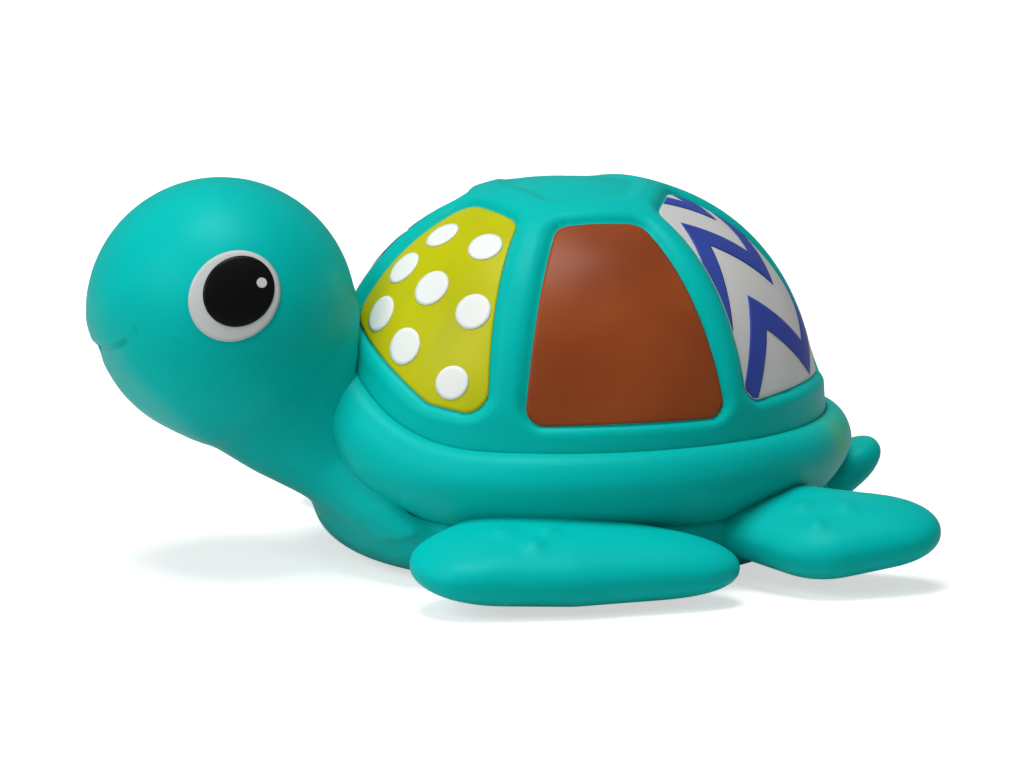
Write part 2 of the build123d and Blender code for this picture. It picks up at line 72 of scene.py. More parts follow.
class Sock:
    """An output socket that takes part in number sums."""

    def __init__(self, graph: "Graph", socket: bpy.types.NodeSocket) -> None:
        """Keep the socket and the graph that its sums go into.

        Args:
            graph: Graph that the socket belongs to.
            socket: Output socket of a node there.
        """
        self.graph = graph
        self.socket = socket

    def _sum(self, operation: str, *values: "Sock | float") -> "Sock":
        """Add one Math node.

        Args:
            operation: Name of the node's operation.
            values: Its inputs, in order.

        Returns:
            The node's output.
        """
        return self.graph.node("ShaderNodeMath", {"operation": operation}, dict(enumerate(values)))

    def __add__(self, other: "Sock | float") -> "Sock":
        """Sum of two values."""
        return self._sum("ADD", self, other)

    def __sub__(self, other: "Sock | float") -> "Sock":
        """Difference of two values."""
        return self._sum("SUBTRACT", self, other)

    def __rsub__(self, other: float) -> "Sock":
        """A number less this value."""
        return self._sum("SUBTRACT", other, self)

    def __mul__(self, other: "Sock | float") -> "Sock":
        """Product of two values."""
        return self._sum("MULTIPLY", self, other)

    __radd__ = __add__
    __rmul__ = __mul__

    def ramp(self, low: float, high: float, start: float = 0.0, end: float = 1.0) -> "Sock":
        """Smooth step from start to end as this value goes from low to high.

        Args:
            low: Value at which the step starts.
            high: Value at which it ends.
            start: Result below low.
            end: Result above high.

        Returns:
            The stepped value.
        """
        names = ("Value", "From Min", "From Max", "To Min", "To Max")
        values = dict(zip(names, (self, low, high, start, end)))
        return self.graph.node("ShaderNodeMapRange", {"interpolation_type": "SMOOTHSTEP"}, values)


class Graph:
    """Node tree of one material."""

    def __init__(self, name: str) -> None:
        """Start a material with nothing but its output.

        Args:
            name: Name of the material.
        """
        self.material = bpy.data.materials.new(name)
        self.material.use_nodes = True
        self.tree = self.material.node_tree
        self.tree.nodes.clear()
        self.output = self.tree.nodes.new("ShaderNodeOutputMaterial")

    def node(
        self,
        kind: str,
        settings: dict[str, Any] | None = None,
        inputs: dict[Any, Any] | None = None,
        out: int | str = 0,
    ) -> Sock:
        """Add a node of any type.

        Args:
            kind: Type of the node.
            settings: Its settings, which are made first.
            inputs: Values or links of its sockets, by name or number.
            out: Output that is wanted.

        Returns:
            That output.
        """
        made = self.tree.nodes.new(kind)
        for name, value in (settings or {}).items():
            setattr(made, name, value)
        for name, value in (inputs or {}).items():
            if isinstance(value, Sock):
                self.tree.links.new(value.socket, made.inputs[name])
            else:
                made.inputs[name].default_value = value
        return Sock(self, made.outputs[out])

    def place(self) -> Sock:
        """Place of a point on its own object."""
        return self.node("ShaderNodeTexCoord", out="Object")

    def noise(self, scale: float, detail: float = 2.0, roughness: float = 0.5) -> Sock:
        """Cloudy pattern in the object's own space.

        Args:
            scale: Clouds per metre.
            detail: How many finer layers it has.
            roughness: How strong those are.

        Returns:
            A value about 0.5.
        """
        values = {"Vector": self.place(), "Scale": scale, "Detail": detail, "Roughness": roughness}
        return self.node("ShaderNodeTexNoise", {}, values)

    def blend(self, share: Sock | float, first: Any, second: Any) -> Sock:
        """Mix of two colours.

        Args:
            share: Part of the second colour.
            first: Colour at 0.
            second: Colour at 1.

        Returns:
            The mixed colour.
        """
        values = {0: share, 6: first, 7: second}
        return self.node("ShaderNodeMix", {"data_type": "RGBA"}, values, out=2)

    def surface(self, **sockets: Any) -> bpy.types.Material:
        """Close the graph with a Principled shader.

        Args:
            sockets: The shader's sockets, with _ for a space.

        Returns:
            The finished material.
        """
        inputs = {name.replace("_", " "): value for name, value in sockets.items()}
        shader = self.node("ShaderNodeBsdfPrincipled", {}, inputs)
        self.tree.links.new(shader.socket, self.output.inputs["Surface"])
        return self.material


def paint_colour(red: int, green: int, blue: int) -> Colour:
    """Linear colour of a screen colour.

    Args:
        red: Red from 0 to 255.
        green: Green from 0 to 255.
        blue: Blue from 0 to 255.

    Returns:
        The same colour as shaders take it.
    """
    levels = (((level / 255 + 0.055) / 1.055) ** 2.4 for level in (red, green, blue))
    return (*levels, 1.0)


@dataclass(frozen=True)
class Vinyl:
    """Satin soft vinyl, cast in one colour, with a trace of overspray at the rear."""

    name: str = "satin_teal_vinyl"
    light: Colour = paint_colour(0, 186, 179)
    deep: Colour = paint_colour(0, 177, 169)
    sheen: Colour = (0.02, 0.9, 0.86, 1.0)
    overspray: Colour = paint_colour(120, 196, 70)
    roughness: float = 0.42
    grain: float = 1500.0
    bump: float = 0.16
    specular: float = 0.12
    coat: float = 0.045
    coat_roughness: float = 0.4
    glow: float = 0.08
    glow_depth: float = 0.002

    def make(self) -> bpy.types.Material:
        """Build the material.

        Returns:
            The finished material.
        """
        graph = Graph(self.name)
        clouds = graph.noise(38.0, 3.0).ramp(0.3, 0.7)
        peel = graph.noise(self.grain, 2.0, 0.6)
        waves = graph.noise(160.0, 2.0)
        vinyl = graph.blend(clouds, self.deep, self.light)
        colour = graph.blend(self.spray(graph), vinyl, self.overspray)
        height = peel * 0.35 + waves
        normal = graph.node(
            "ShaderNodeBump", {}, {"Strength": self.bump, "Distance": 0.1 * MM, "Height": height}
        )
        return graph.surface(
            Base_Color=colour,
            Roughness=clouds.ramp(0.0, 1.0, self.roughness + 0.03, self.roughness - 0.03),
            Specular_IOR_Level=self.specular,
            Specular_Tint=self.sheen,
            Coat_Weight=self.coat,
            Coat_Roughness=self.coat_roughness,
            Subsurface_Weight=self.glow,
            Subsurface_Scale=self.glow_depth,
            Normal=normal,
        )

    def spray(self, graph: Graph) -> Sock:
        """Where the panels' lime paint drifted onto the rim's rear and the tail.

        Args:
            graph: Graph of the vinyl.

        Returns:
            Share of the overspray.
        """
        place = graph.place()
        rear = graph.node("ShaderNodeSeparateXYZ", {}, {0: place}, out="Y")
        height = graph.node("ShaderNodeSeparateXYZ", {}, {0: place}, out="Z")
        rearward = rear.ramp(0.026, 0.036)
        above = height.ramp(0.0125, 0.0175)
        below = height.ramp(0.0195, 0.0225, 1.0, 0.0)
        drift = graph.noise(90.0, 2.0).ramp(0.35, 0.7)
        return rearward * above * below * drift * 0.4


@dataclass(frozen=True)
class Paint:
    """Glossy paint or print, a little uneven where it was sprayed."""

    name: str
    thin: Colour
    full: Colour
    roughness: float = 0.38
    bump: float = 0.1
    specular: float = 0.12
    coat: float = 0.025
    coat_roughness: float = 0.2
    drift: float = 55.0

    def make(self) -> bpy.types.Material:
        """Build the material.

        Returns:
            The finished material.
        """
        graph = Graph(self.name)
        mist = graph.noise(self.drift, 2.0).ramp(0.3, 0.7)
        speck = graph.noise(2600.0, 1.0)
        colour = graph.blend(mist, self.thin, self.full)
        level = graph.noise(220.0, 2.0)
        normal = graph.node(
            "ShaderNodeBump", {}, {"Strength": self.bump, "Distance": 0.1 * MM, "Height": level}
        )
        return graph.surface(
            Base_Color=colour,
            Roughness=speck.ramp(0.2, 0.8, self.roughness - 0.04, self.roughness + 0.04),
            Specular_IOR_Level=self.specular,
            Coat_Weight=self.coat,
            Coat_Roughness=self.coat_roughness,
            Normal=normal,
        )


class Finishes:
    """Every finish of the toy, made once and handed out by slot."""

    def __init__(self) -> None:
        """Make all the materials."""
        recipes = {
            Slot.VINYL: Vinyl(),
            Slot.PLUG: Vinyl(name="matte_teal_vinyl", roughness=0.55, grain=2200.0),
            Slot.LIME: Paint("lime_paint", paint_colour(193, 192, 15), paint_colour(175, 178, 1)),
            Slot.BROWN: Paint("brown_paint", paint_colour(152, 74, 34), paint_colour(134, 62, 28)),
            Slot.WHITE: Paint("white_paint", paint_colour(214, 214, 212), paint_colour(204, 204, 203)),
            Slot.DOTS: Paint("dot_print", paint_colour(236, 238, 234), paint_colour(226, 229, 226)),
            Slot.BLUE: Paint("blue_print", paint_colour(58, 78, 168), paint_colour(46, 66, 154)),
            Slot.EYE: Paint("eye_white_paint", paint_colour(200, 203, 203), paint_colour(191, 195, 195)),
            Slot.PUPIL: Paint("pupil_paint", paint_colour(14, 13, 14), paint_colour(7, 7, 8)),
        }
        self.by_slot = {slot: recipe.make() for slot, recipe in recipes.items()}

    def dress(self, piece: bpy.types.Object, slot: Slot) -> None:
        """Give a piece its finish.

        Args:
            piece: Piece to dress.
            slot: Its slot in the record.
        """
        piece.data.materials.clear()
        piece.data.materials.append(self.by_slot[slot])


@dataclass
class Workshop:
    """Turns bmeshes in millimetres into finished pieces of the toy."""

    finishes: Finishes

    def piece(
        self, bm: bmesh.types.BMesh, name: str, slot: Slot, body: Body, nodes: Sequence[str]
    ) -> bpy.types.Object:
        """Finish a mesh as a piece in the frame.

        Args:
            bm: Mesh in millimetres, which is freed.
            name: Name of the piece.
            slot: Its slot in the record.
            body: Body that it rides on.
            nodes: CAD nodes that it stands for.

        Returns:
            The finished piece.
        """
        bmesh.ops.scale(bm, vec=(MM, MM, MM), verts=bm.verts)
        bmesh.ops.recalc_face_normals(bm, faces=bm.faces)
        for face in bm.faces:
            face.smooth = True
        mesh = bpy.data.meshes.new(name)
        bm.to_mesh(mesh)
        bm.free()
        made = bpy.data.objects.new(name, mesh)
        bpy.context.scene.collection.objects.link(made)
        self.finishes.dress(made, slot)
        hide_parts(*nodes)
        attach(made, body.value)
        LOG.info("%s: %d faces", name, len(mesh.polygons))
        return made


def shape(bm: bmesh.types.BMesh, move: Callable[[np.ndarray], np.ndarray]) -> None:
    """Move every vertex of a mesh by a rule.

    Args:
        bm: Mesh to shape.
        move: Takes all the places, one row each, and gives the new ones.
    """
    places = np.array([vert.co[:] for vert in bm.verts])
    for vert, place in zip(bm.verts, move(places)):
        vert.co = place


def disc(rings: int, steps: int) -> bmesh.types.BMesh:
    """Flat round disc of radius 1 in the XY plane, in rings.

    Args:
        rings: Number of rings.
        steps: Number of steps round it.

    Returns:
        The mesh.
    """
    bm = bmesh.new()
    line = [bm.verts.new((ring / rings, 0, 0)) for ring in range(rings + 1)]
    edges = [bm.edges.new(pair) for pair in zip(line, line[1:])]
    bmesh.ops.spin(
        bm, geom=line + edges, cent=(0, 0, 0), axis=(0, 0, 1), angle=2 * math.pi, steps=steps,
        use_merge=True,
    )
    bmesh.ops.remove_doubles(bm, verts=bm.verts, dist=0.2 / rings / steps)
    return bm


def spun(profile: Sequence[Place], steps: int, closed: bool = False) -> bmesh.types.BMesh:
    """Surface of a profile turned round the Z axis.

    Args:
        profile: Points as distance from the axis and height.
        steps: Number of steps round.
        closed: Whether the profile ends where it starts.

    Returns:
        The mesh.
    """
    bm = bmesh.new()
    line = [bm.verts.new((reach, 0, height)) for reach, height in profile]
    pairs = list(zip(line, line[1:]))
    if closed:
        pairs.append((line[-1], line[0]))
    edges = [bm.edges.new(pair) for pair in pairs]
    bmesh.ops.spin(
        bm, geom=line + edges, cent=(0, 0, 0), axis=(0, 0, 1), angle=2 * math.pi, steps=steps,
        use_merge=True,
    )
    bmesh.ops.remove_doubles(bm, verts=bm.verts, dist=0.001)
    return bm


def bezier(points: Sequence[Place], steps: int) -> list[Place]:
    """Points along a cubic curve.

    Args:
        points: Its four control points.
        steps: Number of steps along it.

    Returns:
        The points, both ends included.
    """
    line = []
    for step in range(steps + 1):
        share = step / steps
        rest = 1 - share
        weights = (rest**3, 3 * rest**2 * share, 3 * rest * share**2, share**3)
        line.append(tuple(sum(w * p[axis] for w, p in zip(weights, points)) for axis in (0, 1)))
    return line


def smooth_step(values: np.ndarray, low: float, high: float) -> np.ndarray:
    """Soft step from 0 at low to 1 at high.

    Args:
        values: Values to step.
        low: Where the step starts.
        high: Where it ends.

    Returns:
        The stepped values.
    """
    share = np.clip((values - low) / (high - low), 0, 1)
    return share * share * (3 - 2 * share)


@dataclass(frozen=True)
class Arch:
    """The shell's oval arch, in millimetres, a little fuller than the plain solid."""

    length: float = 78.0
    width: float = 70.6
    foot_z: float = 17.6
    top_z: float = 56.8
    crown_pull: float = 0.685
    side_pull: float = 0.53
    crease_z: float = 21.3
    arch_rise: float = 12.4
    arch_half: float = 30.0
    samples: int = 400

    @property
    def reach(self) -> float:
        """Half length of the shell at its foot."""
        return self.length / 2

    @property
    def rise(self) -> float:
        """Height of the crown over the foot."""
        return self.top_z - self.foot_z

    @property
    def side_share(self) -> float:
        """Width of the oval as a share of its length."""
        return self.width / self.length

    @property
    def hub(self) -> np.ndarray:
        """Point inside, from which the panels are laid out."""
        return np.array((0.0, 0.0, self.crease_z))

    def line(self, inset: float, steps: int) -> list[Place]:
        """Arch from the crown to the foot, moved inwards.

        Args:
            inset: How far it is moved inwards.
            steps: Number of steps along it.

        Returns:
            Points as half length and height.
        """
        reach = self.reach - inset
        rise = self.rise - inset
        foot = self.foot_z
        return bezier(
            (
                (0, foot + rise),
                (self.crown_pull * reach, foot + rise),
                (reach, foot + self.side_pull * rise),
                (reach, foot),
            ),
            steps,
        )

    def reach_at(self, heights: np.ndarray, inset: float = 0.0) -> np.ndarray:
        """Half length of the shell at each height.

        Args:
            heights: Heights to measure at.
            inset: How far inside the surface.

        Returns:
            Half lengths, that of the foot below the foot.
        """
        line = np.array(self.line(inset, self.samples)[::-1])
        return np.interp(heights, line[:, 1], line[:, 0])

    def oval_reach(self, places: np.ndarray) -> np.ndarray:
        """Half length of the oval through each place."""
        return np.hypot(places[:, 0] / self.side_share, places[:, 1])

    def turn(self, places: np.ndarray) -> np.ndarray:
        """Angle of each place from the nose, in radians."""
        return np.arctan2(places[:, 0] / self.side_share, -places[:, 1])

    def at(self, turns: np.ndarray, reaches: np.ndarray, heights: np.ndarray) -> np.ndarray:
        """Places at those angles from the nose, half lengths and heights."""
        across = self.side_share * reaches * np.sin(turns)
        return np.column_stack((across, -reaches * np.cos(turns), heights))

    def crease(self, turns: np.ndarray) -> np.ndarray:
        """Height of the crease at those angles from the nose."""
        across = self.side_share * self.reach * np.sin(turns)
        bow = np.cos(np.pi * across / (2 * self.arch_half)) ** 2
        front = (np.abs(across) < self.arch_half) & (np.cos(turns) > 0)
        return self.crease_z + np.where(front, self.arch_rise * bow, 0.0)

    def meet(self, through: np.ndarray, inset: float) -> np.ndarray:
        """Where lines from the hub through some places meet the surface at an inset.

        Args:
            through: Places that the lines pass through.
            inset: How far inside the surface.

        Returns:
            The meeting places.
        """
        rays = through - self.hub
        low = np.full(len(rays), 0.3)
        high = np.full(len(rays), 1.8)
        for _ in range(26):
            middle = (low + high) / 2
            places = self.hub + rays * middle[:, None]
            inside = self.oval_reach(places) < self.reach_at(places[:, 2], inset)
            low = np.where(inside, middle, low)
            high = np.where(inside, high, middle)
        return self.hub + rays * low[:, None]


class Cell:
    """One rounded panel cell of the shell, drawn on a plane that touches the shell."""

    def __init__(self, arch: Arch, corners: Sequence[np.ndarray], margin: float, round_: float) -> None:
        """Lay the cell out.

        Args:
            arch: The shell's arch.
            corners: Corners along the middles of its ribs.
            margin: From there to the panel's edge.
            round_: Radius of its corners.
        """
        self.arch = arch
        self.round = round_
        self.middle = sum(corners) / len(corners)
        self.outward = (self.middle - arch.hub) / np.linalg.norm(self.middle - arch.hub)
        side = np.cross((0, 0, 1), self.outward)
        if np.linalg.norm(side) < 0.1:
            side = np.array((1.0, 0.0, 0.0))
        self.side = side / np.linalg.norm(side)
        self.up = np.cross(self.outward, self.side)
        flat = self.flat(np.array(corners))
        centre = flat.mean(axis=0)
        order = np.argsort(np.arctan2(*(flat - centre).T[::-1]))
        self.core = self.drawn_in(flat[order], margin + round_)

    def flat(self, places: np.ndarray) -> np.ndarray:
        """Where lines from the hub through some places meet the cell's plane.

        Args:
            places: Places in the frame.

        Returns:
            Their sideways and upward places on the plane.
        """
        rays = places - self.arch.hub
        ahead = np.maximum(rays @ self.outward, 1e-3)
        depth = (self.middle - self.arch.hub) @ self.outward / ahead
        local = self.arch.hub + rays * depth[:, None] - self.middle
        return np.column_stack((local @ self.side, local @ self.up))

    def faces(self, places: np.ndarray) -> np.ndarray:
        """Whether each place lies on the cell's side of the hub."""
        rays = places - self.arch.hub
        return rays @ self.outward > 0.45 * np.linalg.norm(rays, axis=1)

    def raised(self, flat: np.ndarray, inset: float) -> np.ndarray:
        """Places on the shell over places on the cell's plane.

        Args:
            flat: Places on the plane.
            inset: How far inside the shell's surface.

        Returns:
            Places in the frame.
        """
        through = self.middle + flat[:, :1] * self.side + flat[:, 1:2] * self.up
        return self.arch.meet(through, inset)

    @staticmethod
    def drawn_in(corners: np.ndarray, margin: float) -> np.ndarray:
        """Convex polygon moved inwards on every side.

        Args:
            corners: Its corners, counterclockwise.
            margin: How far each side moves.

        Returns:
            The new corners.
        """
        ahead = np.roll(corners, -1, axis=0) - corners
        ahead /= np.linalg.norm(ahead, axis=1)[:, None]
        inward = np.column_stack((-ahead[:, 1], ahead[:, 0]))
        moved = []
        for index in range(len(corners)):
            normals = np.array((inward[index - 1], inward[index]))
            levels = normals @ corners[index] + margin
            moved.append(np.linalg.solve(normals, levels))
        return np.array(moved)

    def distance(self, flat: np.ndarray) -> np.ndarray:
        """Signed distance of places on the plane from the panel's edge, negative inside."""
        best = np.full(len(flat), np.inf)
        inside = np.ones(len(flat), dtype=bool)
        for start, end in zip(self.core, np.roll(self.core, -1, axis=0)):
            side = end - start
            along = np.clip((flat - start) @ side / (side @ side), 0, 1)
            best = np.minimum(best, np.linalg.norm(flat - start - along[:, None] * side, axis=1))
            inside &= side[0] * (flat[:, 1] - start[1]) - side[1] * (flat[:, 0] - start[0]) >= 0
        return np.where(inside, -best, best) - self.round

    def outline(self, steps: int, inset: float = 0.0) -> np.ndarray:
        """Edge of the panel, seen from its middle at even angles.

        Args:
            steps: Number of points.
            inset: How far inside the edge.

        Returns:
            The points, counterclockwise.
        """
        turns = np.arange(steps) * 2 * np.pi / steps
        rays = np.column_stack((np.cos(turns), np.sin(turns)))
        centre = self.core.mean(axis=0)
        low = np.zeros(steps)
        high = np.full(steps, 40.0)
        for _ in range(30):
            middle = (low + high) / 2
            inside = self.distance(centre + rays * middle[:, None]) < -inset
            low = np.where(inside, middle, low)
            high = np.where(inside, high, middle)
        return centre + rays * low[:, None]


@dataclass
class DomedShell:
    """Upper shell with puffy ribs, its painted panels and the prints on them."""

    workshop: Workshop
    arch: Arch = field(default_factory=Arch)
    wall: float = 2.0
    skirt: float = 2.4
    skirt_blend: float = 8.4
    rib_width: float = 4.9
    rib_tops: tuple[float, ...] = (0, 62, 113.5, 180, 246.5, 298)
    rib_feet: tuple[float, ...] = (0, 62, 116.2, 180, 243.8, 298)
    peak_rib_z: float = 55.4
    side_rib_z: float = 54.05
    panel_drops: tuple[float, ...] = (1.0, 1.0, 0.4, 0.4, 1.0, 1.0)
    front_top_side: float = 58.5
    front_foot_side: float = 60.5
    puff: float = 0.28
    panel_depth: float = 0.9
    crown_depth: float = 0.55
    panel_corners: tuple[float, ...] = (3.0, 2.4, 2.2, 3.0, 2.4, 2.2)
    crown_corner: float = 2.0
    flank: float = 1.7
    bare_line: float = 0.35
    crown_flank: float = 2.3
    above_crease: tuple[float, ...] = (2.2, 1.6, 3.2, 3.2, 1.6, 2.2)
    crease_bend: float = 40.0
    film: float = 0.12
    arch_steps: int = 165
    round_steps: int = 420
    dot_radius: float = 2.45
    dot_places: tuple[Place, ...] = (
        (-5.0, 10.1), (3.4, 9.3), (-7.7, 4.0), (-0.7, 1.5),
        (-7.8, -2.8), (6.7, -0.3), (-1.5, -6.6), (7.1, -10.3),
    )
    zigzag_rows: tuple[tuple[Place, Place], ...] = (
        ((-4.7, 19.4), (2.9, 9.6)),
        ((-5.3, 7.4), (1.4, -0.8)),
        ((-6.2, -5.0), (2.3, -13.6)),
    )
    zigzag_bends: tuple[Place, ...] = ((-1.3, 1.5), (0, 0), (1, 1), (2, 0), (3, 1))
    zigzag_stroke: float = 4.8

    def __post_init__(self) -> None:
        """Lay out the seven cells."""
        half = self.rib_width / 2
        self.cells = [
            Cell(self.arch, self.corners(index), half, corner)
            for index, corner in enumerate(self.panel_corners)
        ]
        crown = [
            self.on_arch(angle, self.rib_top(index)) for index, angle in enumerate(self.rib_tops)
        ]
        self.crown = Cell(self.arch, crown, half, self.crown_corner)

    def on_arch(self, angle: float, height: float) -> np.ndarray:
        """Point on the shell at that angle from the nose, in degrees, and that height."""
        turns = np.radians([angle])
        heights = np.array([height])
        return self.arch.at(turns, self.arch.reach_at(heights), heights)[0]

    def rib_top(self, index: int) -> float:
        """Height at which a rib meets the crown's flat."""
        return self.peak_rib_z if index % 3 == 0 else self.side_rib_z

    def crease_foot(self, angle: float, above: float) -> np.ndarray:
        """Point on the shell at that height over the crease."""
        height = float(self.arch.crease(np.radians([angle]))[0])
        return self.on_arch(angle, height + above)

    def corners(self, index: int) -> list[np.ndarray]:
        """Corners of one side cell, along the middles of its ribs.

        Args:
            index: Number of the cell, counted from the nose over the left side.

        Returns:
            Its corners.
        """
        after = (index + 1) % 6
        top_start, foot_start = self.rib_tops[index], self.rib_feet[index]
        top_end, foot_end = self.rib_tops[after], self.rib_feet[after]
        above = self.above_crease[index]
        drop = self.panel_drops[index]
        bend = []
        if index == 0:
            top_end, foot_end = self.front_top_side, self.front_foot_side
            bend = [self.crease_foot(self.crease_bend, above)]
        if index == 5:
            top_start, foot_start = -self.front_top_side, -self.front_foot_side
            bend = [self.crease_foot(-self.crease_bend, above)]
        return [
            self.on_arch(top_start, self.rib_top(index) - drop),
            self.on_arch(top_end, self.rib_top(index + 1) - drop),
            self.crease_foot(foot_end, above),
            *bend,
            self.crease_foot(foot_start, above),
        ]

    def depth(self, places: np.ndarray) -> np.ndarray:
        """How far the skin lies inside the arch, down the ribs' flanks and in the panels.

        Args:
            places: Places on the arch.

        Returns:
            Depth at each place, below 0 where a rib puffs out.
        """
        deepest = np.zeros(len(places))
        nearest = np.full(len(places), self.rib_width)
        for cell in self.cells:
            away = cell.distance(cell.flat(places))
            nearest = np.where(cell.faces(places), np.minimum(nearest, away), nearest)
            beyond = np.clip((away - self.bare_line) / self.flank, 0, 1)
            floor = self.panel_depth * (1 - np.sqrt(1 - (1 - beyond) ** 2))
            deepest = np.maximum(deepest, np.where(cell.faces(places), floor, 0))
        away = self.crown.distance(self.crown.flat(places))
        nearest = np.where(self.crown.faces(places), np.minimum(nearest, away), nearest)
        floor = self.crown_depth * (1 - smooth_step(away / self.crown_flank, -0.2, 1))
        deepest = np.maximum(deepest, np.where(self.crown.faces(places), floor, 0))
        clear = smooth_step(places[:, 2] - self.arch.crease(self.arch.turn(places)), 1.5, 6)
        return deepest - self.puff * smooth_step(nearest, self.bare_line, self.rib_width / 2) * clear

    def skin(self, places: np.ndarray) -> np.ndarray:
        """Final places of the skin, with its ribs outside and its front lifted over the neck.

        Args:
            places: Places on the plain round arch, outside and inside.

        Returns:
            The new places.
        """
        arch = self.arch
        radii = np.hypot(places[:, 0], places[:, 1])
        outside = radii / arch.reach_at(places[:, 2]) > 1 - self.wall / arch.reach / 2
        outside |= places[:, 2] > arch.top_z - self.wall / 2
        turns = np.arctan2(places[:, 0], -places[:, 1])
        foot = np.maximum(arch.crease(turns) - self.skirt, arch.foot_z)
        bend = foot + self.skirt_blend
        share = np.clip((places[:, 2] - arch.foot_z) / (bend - arch.foot_z), 0, 1)
        heights = np.where(places[:, 2] < bend, foot + share * (bend - foot), places[:, 2])
        outer = arch.at(turns, arch.reach_at(heights), heights)
        depth = self.depth(outer)
        rise = arch.foot_z + (heights - arch.foot_z) * (arch.rise - depth) / arch.rise
        outer = outer * ((arch.reach - depth) / arch.reach)[:, None]
        outer[:, 2] = rise
        inner = arch.at(turns, arch.reach_at(heights, self.wall), heights)
        return np.where(outside[:, None], outer, inner)

    def build(self) -> None:
        """Make the shell and everything painted on it."""
        outside = self.arch.line(0, self.arch_steps)
        inside = self.arch.line(self.wall, 40)
        bm = spun(outside + inside[::-1], self.round_steps)
        shape(bm, self.skin)
        self.workshop.piece(bm, "ribbed_shell", Slot.VINYL, Body.SHELL, ["shell_dome"])
        paints = (
            ("lime_panel_front_left", Slot.LIME), ("brown_panel_left", Slot.BROWN),
            ("white_panel_rear_left", Slot.WHITE), ("lime_panel_rear_right", Slot.LIME),
            ("brown_panel_right", Slot.BROWN), ("white_panel_front_right", Slot.WHITE),
        )
        for cell, (node, slot) in zip(self.cells, paints):
            self.panel(cell, node, slot)
        self.dots(self.cells[0], "dots_front_left")
        self.dots(self.cells[3], "dots_rear_right")
        self.zigzags(self.cells[2], "zigzags_rear_left")
        self.zigzags(self.cells[5], "zigzags_front_right")

    def coat(
        self, bm: bmesh.types.BMesh, cell: Cell, layer: int, node: str, slot: Slot
    ) -> None:
        """Lay a flat mesh on the floor of a panel as a thin coat.

        Args:
            bm: Mesh on the cell's plane.
            cell: Cell that it lies in.
            layer: 1 for the panel's paint and 2 for a print over it.
            node: CAD node that it stands for.
            slot: Its slot in the record.
        """
        inset = self.panel_depth - layer * self.film
        shape(bm, lambda places: cell.raised(places[:, :2], inset))
        bmesh.ops.recalc_face_normals(bm, faces=bm.faces)
        made = self.workshop.piece(bm, f"{node}_coat", slot, Body.SHELL, [node])
        thicken = made.modifiers.new("thickness", "SOLIDIFY")
        thicken.thickness = self.film * 0.9 * MM
        thicken.offset = -1

    def panel(self, cell: Cell, node: str, slot: Slot) -> None:
        """Paint one panel from edge to edge.

        Args:
            cell: Its cell.
            node: CAD node that it stands for.
            slot: Its slot in the record.
        """
        steps = 240
        edge = cell.outline(steps)
        centre = cell.core.mean(axis=0)
        bm = disc(26, steps)

        def spread(places: np.ndarray) -> np.ndarray:
            """Stretch the round disc to the panel's outline."""
            turns = np.round(np.arctan2(places[:, 1], places[:, 0]) / (2 * np.pi) * steps)
            radii = np.hypot(places[:, 0], places[:, 1])
            flat = centre + (edge[turns.astype(int) % steps] - centre) * radii[:, None]
            return np.column_stack((flat, np.zeros(len(flat))))

        shape(bm, spread)
        self.coat(bm, cell, 1, node, slot)

    def dots(self, cell: Cell, node: str) -> None:
        """Print the round dots of a panel.

        Args:
            cell: Its cell.
            node: CAD node that they stand for.
        """
        bm = bmesh.new()
        for across, up in self.dot_places:
            mesh = bpy.data.meshes.new("dot")
            one = disc(5, 48)
            bmesh.ops.scale(one, vec=(self.dot_radius, self.dot_radius, 1), verts=one.verts)
            bmesh.ops.translate(one, vec=(across, up, 0), verts=one.verts)
            one.to_mesh(mesh)
            one.free()
            bm.from_mesh(mesh)
            bpy.data.meshes.remove(mesh)
        self.coat(bm, cell, 2, node, Slot.DOTS)

    def zigzags(self, cell: Cell, node: str) -> None:
        """Print the three zigzags of a panel, cut off at its edge.

        Args:
            cell: Its cell.
            node: CAD node that they stand for.
        """
        bm = bmesh.new()
        for peak, valley in self.zigzag_rows:
            line = []
            for over, down in self.zigzag_bends:
                across = peak[0] + over * (valley[0] - peak[0])
                line.append((across, peak[1] + down * (valley[1] - peak[1])))
            upper = [bm.verts.new((x, y + self.zigzag_stroke / 2, 0)) for x, y in line]
            lower = [bm.verts.new((x, y - self.zigzag_stroke / 2, 0)) for x, y in line]
            for index in range(len(line) - 1):
                bm.faces.new((lower[index], lower[index + 1], upper[index + 1], upper[index]))
        bmesh.ops.subdivide_edges(bm, edges=bm.edges, cuts=8, use_grid_fill=True)
        edge = cell.outline(72, 0.05)
        for start, end in zip(edge, np.roll(edge, -1, axis=0)):
            side = end - start
            bmesh.ops.bisect_plane(
                bm, geom=bm.verts[:] + bm.edges[:] + bm.faces[:], dist=1e-5,
                plane_co=(*start, 0), plane_no=(side[1], -side[0], 0), clear_outer=True,
            )
        self.coat(bm, cell, 2, node, Slot.BLUE)


